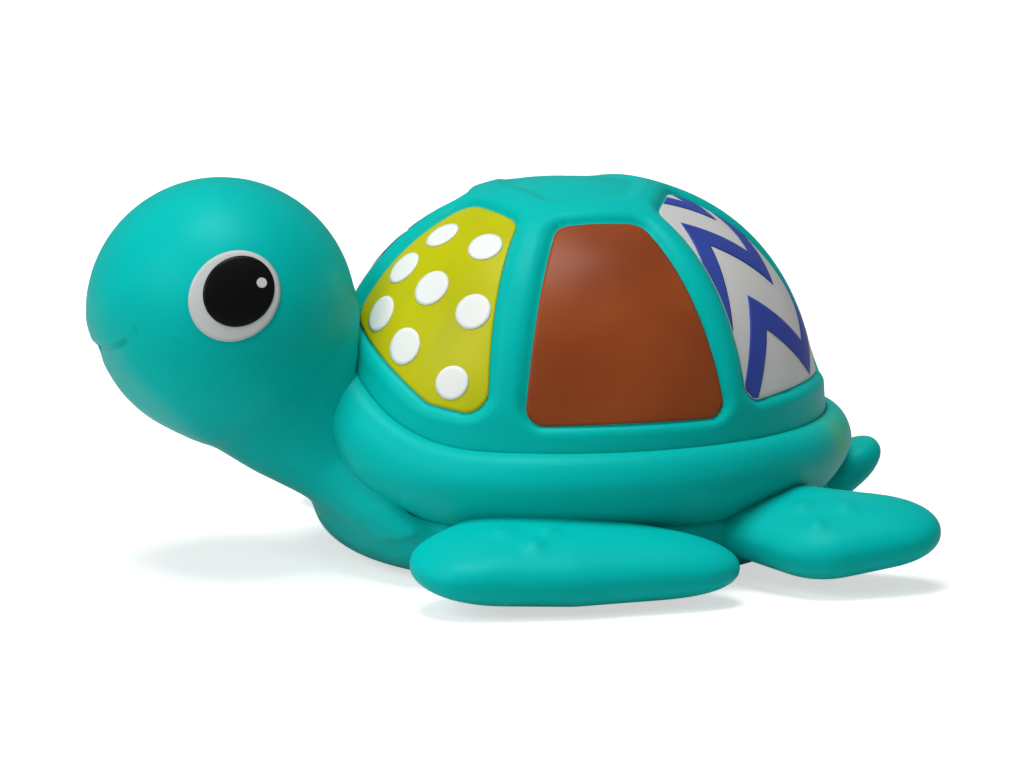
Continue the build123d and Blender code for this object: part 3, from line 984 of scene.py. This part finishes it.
@dataclass
class RimRoll:
    """Soft roll round the shell's foot, which climbs in an arch over the neck."""

    workshop: Workshop
    arch: Arch = field(default_factory=Arch)
    swell: float = 4.0
    boxy: float = 0.82
    foot_z: float = 9.3
    foot_reach: float = 36.6
    wall: float = 1.9
    lip_gap: float = 0.05
    section_steps: int = 72
    round_steps: int = 360
    free_edge: tuple[Place, ...] = (
        (0, 28.3), (9, 26.6), (16.2, 22.6), (21, 17.8), (27, 13.8), (33, 11.2), (42, 9.8), (52, 9.3),
    )

    def lower_edge(self, turns: np.ndarray) -> np.ndarray:
        """Height of the roll's lower edge, which lifts over the neck.

        Args:
            turns: Angles from the nose in radians.

        Returns:
            Heights of the lower edge.
        """
        angles = np.degrees(np.abs(np.arctan2(np.sin(turns), np.cos(turns))))
        points = np.array(self.free_edge)
        return np.interp(angles, points[:, 0], points[:, 1])

    def base(self, heights: np.ndarray) -> np.ndarray:
        """Half length that the roll swells out from, at each height."""
        under = smooth_step(self.arch.foot_z - heights, 0, self.arch.foot_z - self.foot_z)
        return self.arch.reach_at(heights) - under * (self.arch.reach - self.foot_reach)

    def roll(self, places: np.ndarray) -> np.ndarray:
        """Wrap a plain ring, with its section a unit circle, into the roll.

        Args:
            places: Places on the ring.

        Returns:
            Places on the roll.
        """
        turns = np.arctan2(places[:, 0], -places[:, 1])
        out = np.hypot(places[:, 0], places[:, 1]) - self.arch.reach
        up = places[:, 2]
        top = self.arch.crease(turns)
        bottom = self.lower_edge(turns)
        middle = (top + bottom) / 2
        half = (top - bottom) / 2
        outer_z = middle + half * up
        outer = self.base(outer_z) + self.lip_gap + self.swell * np.clip(out, 0, 1) ** self.boxy
        depth = np.clip(-out, 0, 1) ** 0.6
        inner_z = middle + (half - 1.1 * depth) * up
        inner = self.base(inner_z) + self.lip_gap + (self.swell - self.wall) * np.clip(-out, 0, 1)
        outside = out >= 0
        heights = np.where(outside, outer_z, inner_z)
        reaches = np.where(outside, outer, inner)
        return self.arch.at(turns, reaches, heights)

    def build(self) -> None:
        """Make the roll."""
        section = []
        for step in range(self.section_steps):
            turn = 2 * math.pi * step / self.section_steps
            section.append((self.arch.reach + math.cos(turn), math.sin(turn)))
        bm = spun(section, self.round_steps, closed=True)
        shape(bm, self.roll)
        self.workshop.piece(bm, "rim_roll", Slot.VINYL, Body.TURTLE, ["shell_rim"])


@dataclass(frozen=True)
class Ring:
    """One cross-section of the neck, by its lowest and highest point on the midplane."""

    low: Place
    high: Place
    half_width: float
    pear: float = 0.0


@dataclass
class HeadAndBody:
    """Head, neck and belly tub, cast as one skin."""

    workshop: Workshop
    arch: Arch = field(default_factory=Arch)
    head: tuple[float, float, float] = (0.0, -53.8, 38.3)
    radius: float = 20.0
    rings: tuple[Ring, ...] = (
        Ring((-61.5, 22.6), (-41.0, 51.0), 17.4),
        Ring((-57.5, 19.6), (-37.0, 46.0), 16.2),
        Ring((-53.7, 17.1), (-33.0, 40.0), 14.8, 0.03),
        Ring((-49.5, 14.3), (-31.0, 35.0), 13.6, 0.08),
        Ring((-45.0, 11.9), (-28.5, 30.0), 13.2, 0.22),
        Ring((-42.0, 10.3), (-26.0, 25.0), 16.0, 0.32),
        Ring((-39.8, 8.6), (-23.0, 20.0), 20.5, 0.32),
        Ring((-37.0, 5.5), (-18.0, 13.0), 25.0, 0.2),
    )
    belly_flat: float = 27.0
    tub_reach: float = 39.6
    tub_top_z: float = 10.4
    shoulder_z: float = 8.6
    plug_radius: float = 7.7
    plug_depth: float = 1.0
    clearance: float = 0.3
    voxel: float = 0.62
    smile_slope: float = 40.4
    smile_drop: float = 12.8
    smile_half: float = 44.0
    smile_groove: float = 0.55
    smile_width: float = 0.3
    smile_taper: float = 0.86
    lip_step: float = 0.42
    lip_taper: float = 0.55
    chin_lift: float = -44.0
    chin_press: float = 1.1
    dimple: Place = (42.5, -2.5)
    dimple_press: float = 0.34
    dimple_width: float = 0.5
    dimple_half: float = 1.5
    dimple_bow: Place = (0.855, -0.319)
    hole_depth: float = 2.6
    hole_edge: Place = (0.55, 1.15)

    def direction(self, turn: float, lift: float) -> np.ndarray:
        """Direction from the head's middle.

        Args:
            turn: Angle from the nose towards the left side, in degrees.
            lift: Angle above level, in degrees.

        Returns:
            The unit direction.
        """
        level = math.cos(math.radians(lift))
        side = math.radians(turn)
        return np.array((level * math.sin(side), -level * math.cos(side), math.sin(math.radians(lift))))

    def neck(self) -> bmesh.types.BMesh:
        """Head and neck before they are blended, trimmed behind against the shell.

        Returns:
            The mesh.
        """
        bm = bmesh.new()
        steps = 64
        loops = []
        for ring in self.rings:
            low = Vector((0, *ring.low))
            high = Vector((0, *ring.high))
            up = (high - low) / 2
            made = bmesh.ops.create_circle(bm, cap_ends=False, radius=1, segments=steps)["verts"]
            for vert in made:
                side, lift = vert.co.x, vert.co.y
                across = ring.half_width * side * (1 - ring.pear * lift)
                vert.co = (low + high) / 2 + up * lift + Vector((across, 0, 0))
            loops.append([edge for edge in bm.edges if edge.verts[0] in made and edge.verts[1] in made])
        for first, second in zip(loops, loops[1:]):
            bmesh.ops.bridge_loops(bm, edges=first + second)
        bmesh.ops.holes_fill(bm, edges=loops[0] + loops[-1], sides=0)
        bmesh.ops.recalc_face_normals(bm, faces=bm.faces)
        return bm

    def tub(self) -> bmesh.types.BMesh:
        """Belly tub with its flat and the seat of the plug.

        Returns:
            The mesh.
        """
        flat = self.belly_flat
        reach = self.tub_reach
        side = bezier(
            ((flat, 0), (reach - (reach - flat) / 3, 0), (reach, self.shoulder_z / 2),
             (reach, self.shoulder_z)), 20,
        )
        top = bezier(
            ((reach, self.shoulder_z), (reach, self.tub_top_z - 0.4), (reach - 1.2, self.tub_top_z),
             (reach - 4, self.tub_top_z)), 8,
        )
        seat = [(0, self.plug_depth), (self.plug_radius, self.plug_depth), (self.plug_radius, 0)]
        bm = spun(seat + side + top[1:] + [(0, self.tub_top_z)], 180)

        def oval(places: np.ndarray) -> np.ndarray:
            """Narrow the round tub to the shell's oval, away from the plug."""
            reaches = np.hypot(places[:, 0], places[:, 1])
            blend = smooth_step(reaches, self.plug_radius * 1.05, self.belly_flat)
            moved = places.copy()
            moved[:, 0] *= 1 - blend * (1 - self.arch.side_share)
            return moved

        shape(bm, oval)
        return bm

    def blended(self) -> bmesh.types.BMesh:
        """Head, neck and tub blended into one smooth skin.

        Returns:
            The mesh, in millimetres.
        """
        neck = self.neck()
        cutter = spun(
            [(0, 60)] + self.arch.line(-self.clearance, 60)
            + [(self.arch.reach + self.clearance, self.tub_top_z), (0, self.tub_top_z)], 160,
        )
        bmesh.ops.scale(cutter, vec=(self.arch.side_share, 1, 1), verts=cutter.verts)
        neck_object = loose_object(neck, "neck_blank")
        cutter_object = loose_object(cutter, "shell_space")
        head = bmesh.new()
        bmesh.ops.create_uvsphere(head, u_segments=128, v_segments=96, radius=self.radius)
        bmesh.ops.translate(head, vec=self.head, verts=head.verts)
        head_object = loose_object(head, "head_blank")
        tub_object = loose_object(self.tub(), "tub_blank")
        join(neck_object, head_object, "UNION")
        join(neck_object, cutter_object, "DIFFERENCE")
        join(neck_object, tub_object, "UNION")
        remesh = neck_object.modifiers.new("one_skin", "REMESH")
        remesh.mode = "VOXEL"
        remesh.voxel_size = self.voxel
        bm = evaluated(neck_object)
        for loose in (neck_object, cutter_object, head_object, tub_object):
            bpy.data.objects.remove(loose)
        for _ in range(10):
            bmesh.ops.smooth_vert(
                bm, verts=bm.verts, factor=0.5, use_axis_x=True, use_axis_y=True, use_axis_z=True
            )
        return bm

    def smile_distance(self, places: np.ndarray) -> tuple[np.ndarray, np.ndarray, np.ndarray]:
        """How places lie to the smile's line on the head.

        Args:
            places: Places near the head.

        Returns:
            Height over the smile's plane, angle along the smile from its middle in degrees, and
            distance from the line.
        """
        slope = math.radians(self.smile_slope)
        normal = np.array((0, -math.sin(slope), math.cos(slope)))
        rearward = np.array((0, math.cos(slope), math.sin(slope)))
        mouth = self.direction(0, -self.smile_drop) * self.radius
        local = places - np.array(self.head)
        over = local @ normal - mouth @ normal
        angles = np.degrees(np.arctan2(np.abs(local[:, 0]), -(local @ rearward)))
        past = np.maximum(angles - self.smile_half, 0) * math.radians(1) * self.radius
        return over, angles, np.hypot(over, past)

    def face(self, places: np.ndarray) -> np.ndarray:
        """Press the mouth line, the lip's step, the chin and the cheeks' dimples into the head.

        Args:
            places: Places on the skin.

        Returns:
            The new places.
        """
        head = np.array(self.head)
        local = places - head
        far = np.linalg.norm(local, axis=1)
        on_head = np.abs(far - self.radius) < 2.5
        front = smooth_step(-local[:, 1], 2.0, 9.0)
        over, angles, gap = self.smile_distance(places)
        groove = self.smile_groove * np.exp(-((gap / self.smile_width) ** 2))
        groove *= 1 - smooth_step(angles, self.smile_half * self.smile_taper, self.smile_half)
        fade = 1 - smooth_step(angles, self.smile_half * self.lip_taper, self.smile_half)
        under = smooth_step(-over, -0.1, 0.5) * (1 - smooth_step(-over, 0.9, 4.0))
        press = groove + self.lip_step * fade * under * front
        chin = self.direction(0, self.chin_lift)
        towards = local @ chin / np.maximum(far, 1e-6)
        press += self.chin_press * smooth_step(towards, 0.72, 0.97)
        dimple = self.direction(*self.dimple)
        mirrored = local.copy()
        mirrored[:, 0] = np.abs(mirrored[:, 0])
        from_dimple = mirrored - dimple * self.radius
        across = np.cross((0, 0, 1), dimple)
        across /= np.linalg.norm(across)
        lift = np.cross(dimple, across)
        side = from_dimple @ across
        up = from_dimple @ lift
        bend = side + self.dimple_bow[0] * up + self.dimple_bow[1] * up**2
        fall = (bend / self.dimple_width) ** 2 + (up / self.dimple_half) ** 4
        press += self.dimple_press * np.exp(-fall)
        moved = local - local / np.maximum(far, 1e-6)[:, None] * (press * on_head)[:, None]
        return head + moved

    def squirt_hole(self, bm: bmesh.types.BMesh) -> None:
        """Sink the hole that the water comes out of in the middle of the mouth.

        Args:
            bm: The skin.
        """
        mouth = np.array(self.head) + self.direction(0, -self.smile_drop) * self.radius
        axis = self.direction(0, -self.smile_drop)

        def sink(places: np.ndarray) -> np.ndarray:
            """Push the skin in round the hole's axis."""
            local = places - mouth
            along = local @ axis
            away = np.linalg.norm(local - along[:, None] * axis, axis=1)
            near = np.abs(along) < 3
            depth = self.hole_depth * (1 - smooth_step(away, *self.hole_edge)) * near
            return places - depth[:, None] * axis

        shape(bm, sink)

    def build(self) -> None:
        """Make the skin."""
        bm = self.blended()
        for reach in (2.2, 1.0):
            bm.verts.ensure_lookup_table()
            places = np.array([vert.co[:] for vert in bm.verts])
            _, angles, gap = self.smile_distance(places)
            on_head = np.linalg.norm(places - np.array(self.head), axis=1) > self.radius - 1
            near = (gap < reach) & on_head & (places[:, 1] < self.head[1] - 4)
            edges = [edge for edge in bm.edges if all(near[vert.index] for vert in edge.verts)]
            bmesh.ops.subdivide_edges(bm, edges=edges, cuts=1, use_grid_fill=True, smooth=0.0)
            bm.verts.index_update()
        bmesh.ops.triangulate(bm, faces=[face for face in bm.faces if len(face.verts) > 4])
        shape(bm, self.face)
        self.squirt_hole(bm)
        self.workshop.piece(
            bm, "head_neck_and_belly", Slot.VINYL, Body.TURTLE, ["head_and_neck", "belly_tub"]
        )


def loose_object(bm: bmesh.types.BMesh, name: str) -> bpy.types.Object:
    """Helper object of a mesh in millimetres, for joining.

    Args:
        bm: Its mesh, which is freed.
        name: Its name.

    Returns:
        The object.
    """
    bmesh.ops.recalc_face_normals(bm, faces=bm.faces)
    mesh = bpy.data.meshes.new(name)
    bm.to_mesh(mesh)
    bm.free()
    made = bpy.data.objects.new(name, mesh)
    bpy.context.scene.collection.objects.link(made)
    return made


def join(target: bpy.types.Object, tool: bpy.types.Object, operation: str) -> None:
    """Add a join or a cut to a helper object.

    Args:
        target: Object that changes.
        tool: Object that is added or cut out.
        operation: UNION or DIFFERENCE.
    """
    boolean = target.modifiers.new(tool.name, "BOOLEAN")
    boolean.operation = operation
    boolean.solver = "EXACT"
    boolean.object = tool


def evaluated(made: bpy.types.Object) -> bmesh.types.BMesh:
    """Mesh of an object with its modifiers applied.

    Args:
        made: The object.

    Returns:
        A new mesh.
    """
    depsgraph = bpy.context.evaluated_depsgraph_get()
    mesh = bpy.data.meshes.new_from_object(made.evaluated_get(depsgraph))
    bm = bmesh.new()
    bm.from_mesh(mesh)
    bpy.data.meshes.remove(mesh)
    return bm


@dataclass(frozen=True)
class Round:
    """One circle that a limb's outline is pulled tight round."""

    out: float
    rear: float
    radius: float


@dataclass
class Limb:
    """Pebble-like flipper or tail, pulled tight round a few circles."""

    rounds: tuple[Round, ...]
    matrix: Matrix
    half_thick: float
    fullness: float = 2.3
    bumps: tuple[Place, ...] = ()
    bump_height: float = 0.5
    bump_radius: float = 1.5
    rings: int = 40
    steps: int = 144

    def outline(self) -> np.ndarray:
        """Outline seen from its middle at even angles.

        Returns:
            The points.
        """
        turns = np.linspace(0, 2 * np.pi, 1440, endpoint=False)
        rays = np.column_stack((np.cos(turns), np.sin(turns)))
        centres = np.array([(one.out, one.rear) for one in self.rounds])
        radii = np.array([one.radius for one in self.rounds])
        middle = centres.mean(axis=0)
        support = (rays @ (centres - middle).T + radii).max(axis=1)
        even = np.arange(self.steps) * 2 * np.pi / self.steps - np.pi
        sight = np.column_stack((np.cos(even), np.sin(even)))
        facing = sight @ rays.T
        spread = np.where(facing > 0.05, support / np.maximum(facing, 0.05), np.inf).min(axis=1)
        for _ in range(6):
            spread = (np.roll(spread, 1) + 2 * spread + np.roll(spread, -1)) / 4
        return middle + sight * spread[:, None]

    def build(self) -> bmesh.types.BMesh:
        """Make the limb.

        Returns:
            The mesh, in millimetres.
        """
        edge = self.outline()
        middle = np.array([(one.out, one.rear) for one in self.rounds]).mean(axis=0)
        upper = disc(self.rings, self.steps)
        lower = upper.copy()
        for side, bm in ((1, upper), (-1, lower)):
            shape(bm, lambda places, side=side: self.swollen(places, edge, middle, side))
        mesh = bpy.data.meshes.new("half")
        lower.to_mesh(mesh)
        lower.free()
        upper.from_mesh(mesh)
        bpy.data.meshes.remove(mesh)
        bmesh.ops.remove_doubles(upper, verts=upper.verts, dist=0.005)
        bmesh.ops.transform(upper, matrix=self.matrix, verts=upper.verts)
        return upper

    def swollen(
        self, places: np.ndarray, edge: np.ndarray, middle: np.ndarray, side: int
    ) -> np.ndarray:
        """Swell one half of the disc into a pebble with low bumps on top.

        Args:
            places: Places on the unit disc.
            edge: The limb's outline.
            middle: Middle of the outline.
            side: 1 for the upper half and -1 for the lower.

        Returns:
            Places on the limb's own plane.
        """
        steps = len(edge)
        turns = np.round((np.arctan2(places[:, 1], places[:, 0]) + np.pi) / (2 * np.pi) * steps)
        radii = np.sin(np.hypot(places[:, 0], places[:, 1]) * np.pi / 2)
        flat = middle + (edge[turns.astype(int) % steps] - middle) * radii[:, None]
        height = self.half_thick * np.clip(1 - radii**self.fullness, 0, 1) ** (1 / self.fullness)
        if side > 0:
            for out, rear in self.bumps:
                away = np.hypot(flat[:, 0] - out, flat[:, 1] - rear)
                height = height + self.bump_height * np.exp(-((away / self.bump_radius) ** 2))
        return np.column_stack((flat, side * height))


@dataclass
class Limbs:
    """The four flippers and the tail."""

    workshop: Workshop
    thick: float = 9.8
    slope: float = 12.0
    front_hinge: float = 30.0
    front_bottom_z: float = 0.4
    front: tuple[Round, ...] = (
        Round(8.5, -26, 8.5), Round(10.5, -12, 8.8), Round(13.2, 8, 5.3), Round(0, -16, 8),
    )
    front_bumps: tuple[Place, ...] = ((7.5, -21), (8.5, -14.5), (12.5, -17.5))
    rear_hinge: float = 22.0
    rear: tuple[Round, ...] = (Round(6, 20, 8), Round(15.6, 28, 9.6), Round(17.8, 38.2, 6.6))
    rear_bumps: tuple[Place, ...] = ((14, 25), (16.5, 31), (19.5, 25.5))
    rear_lift: float = 6.5
    rear_bottom_z: float = 1.6
    tail_thick: float = 6.6
    tail_slope: float = 36.0
    tail_root: Place = (38.3, 5.7)
    tail: tuple[Round, ...] = (Round(0, 0, 5.6), Round(0, 8.4, 4.9))

    def flipper_matrix(
        self, hinge: float, rounds: Sequence[Round], lift: float, bottom_z: float
    ) -> Matrix:
        """Place of a flipper, sloped down outwards until its edge is near the floor.

        Args:
            hinge: How far its middle line lies from the midplane.
            rounds: Circles of its outline.
            lift: Slope up towards the rear, in degrees.
            bottom_z: Height of its lowest point.

        Returns:
            The matrix from its own plane to the frame.
        """
        slope = math.radians(self.slope)
        rise = math.radians(lift)
        half = self.thick / 2
        outwards = -math.sin(slope)
        rearwards = math.sin(rise) * math.cos(slope)
        steepness = math.hypot(outwards, rearwards)
        lowest = min(
            one.out * outwards + one.rear * rearwards - (one.radius - half) * steepness
            for one in rounds
        )
        place = Matrix.Translation((hinge, 0, bottom_z + half - lowest))
        return place @ Matrix.Rotation(slope, 4, "Y") @ Matrix.Rotation(rise, 4, "X")

    def build(self) -> None:
        """Make the limbs."""
        half = self.thick / 2
        front = self.flipper_matrix(self.front_hinge, self.front, 0.0, self.front_bottom_z)
        rear = self.flipper_matrix(self.rear_hinge, self.rear, self.rear_lift, self.rear_bottom_z)
        pairs = (
            ("front_flipper", self.front, front, self.front_bumps),
            ("rear_flipper", self.rear, rear, self.rear_bumps),
        )
        for name, rounds, matrix, bumps in pairs:
            for side in ("left", "right"):
                bm = Limb(rounds, matrix, half, bumps=bumps).build()
                if side == "right":
                    bmesh.ops.scale(bm, vec=(-1, 1, 1), verts=bm.verts)
                node = f"{name}_{side}"
                self.workshop.piece(bm, f"{node}_paddle", Slot.VINYL, Body.TURTLE, [node])
        matrix = Matrix.Translation((0, *self.tail_root))
        matrix @= Matrix.Rotation(math.radians(self.tail_slope), 4, "X")
        bm = Limb(self.tail, matrix, self.tail_thick / 2).build()
        self.workshop.piece(bm, "tail_leaf", Slot.VINYL, Body.TURTLE, ["tail"])


@dataclass
class Eyes:
    """Painted eyes on both sides of the head."""

    workshop: Workshop
    body: HeadAndBody
    turn: float = 84.8
    lift: float = 16.5
    tilt: float = 42.0
    white: Place = (7.05, 6.25)
    pupil: Place = (5.5, 4.9)
    pupil_shift: Place = (0.6, 0.6)
    glint_radius: float = 0.75
    glint_shift: Place = (3.95, 1.7)
    film: float = 0.1

    def layer(self, name: str, middle: Place, halves: Place, level: float, slot: Slot) -> None:
        """Print one oval of both eyes.

        Args:
            name: Name of the CAD nodes, without their side.
            middle: Its middle, rearwards and upwards from the eye's middle.
            halves: Its half length and half width.
            level: How far it stands over the head's skin.
            slot: Its slot in the record.
        """
        outward = self.body.direction(self.turn, self.lift)
        rearward = np.cross((0, 0, 1), outward)
        rearward /= np.linalg.norm(rearward)
        upward = np.cross(outward, rearward)
        tilt = math.radians(self.tilt)
        long_way = rearward * math.cos(tilt) + upward * math.sin(tilt)
        wide_way = np.cross(outward, long_way)
        centre = outward * self.body.radius + rearward * middle[0] + upward * middle[1]

        def wrap(places: np.ndarray) -> np.ndarray:
            """Lay the disc on the head."""
            flat = centre + places[:, :1] * halves[0] * long_way + places[:, 1:2] * halves[1] * wide_way
            far = np.linalg.norm(flat - outward * (flat @ outward)[:, None], axis=1)
            reach = self.body.radius + level
            depth = np.sqrt(np.maximum(reach**2 - far**2, 0))
            flat = flat - outward * (flat @ outward - depth)[:, None]
            return flat + np.array(self.body.head)

        for side in ("left", "right"):
            bm = disc(14, 96)
            shape(bm, wrap)
            if side == "right":
                bmesh.ops.scale(bm, vec=(-1, 1, 1), verts=bm.verts)
            bmesh.ops.recalc_face_normals(bm, faces=bm.faces)
            node = f"{name}_{side}"
            made = self.workshop.piece(bm, f"{node}_print", slot, Body.TURTLE, [node])
            thicken = made.modifiers.new("thickness", "SOLIDIFY")
            thicken.thickness = self.film * MM
            thicken.offset = -1

    def build(self) -> None:
        """Make both eyes."""
        glint = (self.glint_radius, self.glint_radius)
        self.layer("eye_white", (0, 0), self.white, 1.2 * self.film, Slot.EYE)
        self.layer("pupil", self.pupil_shift, self.pupil, 2.2 * self.film, Slot.PUPIL)
        self.layer("eye_glint", self.glint_shift, glint, 3.2 * self.film, Slot.EYE)


@dataclass(frozen=True)
class Lamp:
    """Soft square lamp, hung so far above, towards the camera and to the right, in metres."""

    name: str
    over: float
    back: float
    right: float
    size: float
    power: float


@dataclass
class Studio:
    """Pale floor, soft lamps and the photograph's camera."""

    aim_z: float = 21.3
    distance: float = 700.0
    azimuth: float = 75.0
    elevation: float = 10.6
    lens: float = 162.4
    sensor: float = 36.0
    shift_right: float = -8.94
    shift_up: float = 3.48
    floor_grey: float = 0.68
    world_light: float = 0.13
    lamps: tuple[Lamp, ...] = (
        Lamp("top_box", 0.9, 0.12, -0.1, 0.45, 6.6),
        Lamp("left_box", 0.45, 0.5, -0.65, 0.5, 3.7),
        Lamp("right_box", 0.45, 0.4, 0.7, 0.6, 0.12),
    )

    def axes(self) -> tuple[Vector, Vector, Vector]:
        """Right, up and towards the camera, in the frame."""
        azimuth = math.radians(self.azimuth)
        elevation = math.radians(self.elevation)
        level = math.cos(elevation)
        back = Vector((level * math.sin(azimuth), -level * math.cos(azimuth), math.sin(elevation)))
        right = Vector((math.cos(azimuth), math.sin(azimuth), 0))
        return right, back.cross(right), back

    def camera(self) -> None:
        """Set the camera at the photograph's angle."""
        right, up, back = self.axes()
        target = Vector((0, 0, self.aim_z)) + self.shift_right * right + self.shift_up * up
        data = bpy.data.cameras.new("photo_camera")
        data.lens = self.lens
        data.sensor_width = self.sensor
        data.sensor_fit = "HORIZONTAL"
        data.clip_start = 0.01
        made = bpy.data.objects.new("photo_camera", data)
        turn = Matrix((right, up, back)).transposed().to_4x4()
        made.matrix_world = Matrix.Translation((target + self.distance * back) * MM) @ turn
        bpy.context.scene.collection.objects.link(made)
        bpy.context.scene.camera = made

    def lamp(self, lamp: Lamp) -> None:
        """Hang a lamp that points at the toy.

        Args:
            lamp: The lamp, with its size in metres and its power in watts.
        """
        right, _, back = self.axes()
        place = Vector((0, 0, lamp.over)) + back * lamp.back + right * lamp.right
        data = bpy.data.lights.new(lamp.name, "AREA")
        data.size = lamp.size
        data.energy = lamp.power
        made = bpy.data.objects.new(lamp.name, data)
        turn = (Vector((0, 0, 0.025)) - place).to_track_quat("-Z", "Y").to_matrix().to_4x4()
        made.matrix_world = Matrix.Translation(place) @ turn
        bpy.context.scene.collection.objects.link(made)

    def floor(self) -> None:
        """Lay a pale floor that keeps the toy's shadow."""
        bm = bmesh.new()
        bmesh.ops.create_grid(bm, x_segments=1, y_segments=1, size=6.0)
        mesh = bpy.data.meshes.new("pale_floor")
        bm.to_mesh(mesh)
        bm.free()
        made = bpy.data.objects.new("pale_floor", mesh)
        bpy.context.scene.collection.objects.link(made)
        graph = Graph("pale_floor")
        seen = graph.node("ShaderNodeLightPath", out="Is Camera Ray")
        far = graph.node("ShaderNodeVectorMath", {"operation": "LENGTH"}, {0: graph.place()}, "Value")
        lift = graph.blend(seen * far.ramp(0.1, 0.6, 0.6, 1.0), (0, 0, 0, 1), (1, 1, 1, 1))
        grey = (self.floor_grey, self.floor_grey, self.floor_grey, 1)
        material = graph.surface(
            Base_Color=grey, Roughness=0.9, Emission_Color=lift, Emission_Strength=1.0
        )
        mesh.materials.append(material)

    def world(self) -> None:
        """White surroundings, weaker as light than as background."""
        world = bpy.data.worlds.new("white_studio")
        world.use_nodes = True
        bpy.context.scene.world = world
        tree = world.node_tree
        tree.nodes.clear()
        path = tree.nodes.new("ShaderNodeLightPath")
        background = tree.nodes.new("ShaderNodeBackground")
        output = tree.nodes.new("ShaderNodeOutputWorld")
        strength = tree.nodes.new("ShaderNodeMapRange")
        strength.inputs["To Min"].default_value = self.world_light
        strength.inputs["To Max"].default_value = 1.0
        background.inputs["Color"].default_value = (1, 1, 1, 1)
        tree.links.new(path.outputs["Is Camera Ray"], strength.inputs["Value"])
        tree.links.new(strength.outputs[0], background.inputs["Strength"])
        tree.links.new(background.outputs[0], output.inputs["Surface"])

    def build(self) -> None:
        """Set the whole studio up."""
        self.camera()
        self.floor()
        self.world()
        for lamp in self.lamps:
            self.lamp(lamp)
        bpy.context.scene.view_settings.view_transform = "Standard"


def main() -> None:
    """Build the toy piece by piece."""
    logging.basicConfig(level=logging.INFO, format="%(name)s %(message)s")
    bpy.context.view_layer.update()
    Studio().build()
    finishes = Finishes()
    workshop = Workshop(finishes)
    DomedShell(workshop).build()
    RimRoll(workshop).build()
    body = HeadAndBody(workshop)
    body.build()
    Limbs(workshop).build()
    Eyes(workshop, body).build()
    finishes.dress(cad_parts["belly_plug"], Slot.PLUG)


if __name__ == "__main__":
    main()
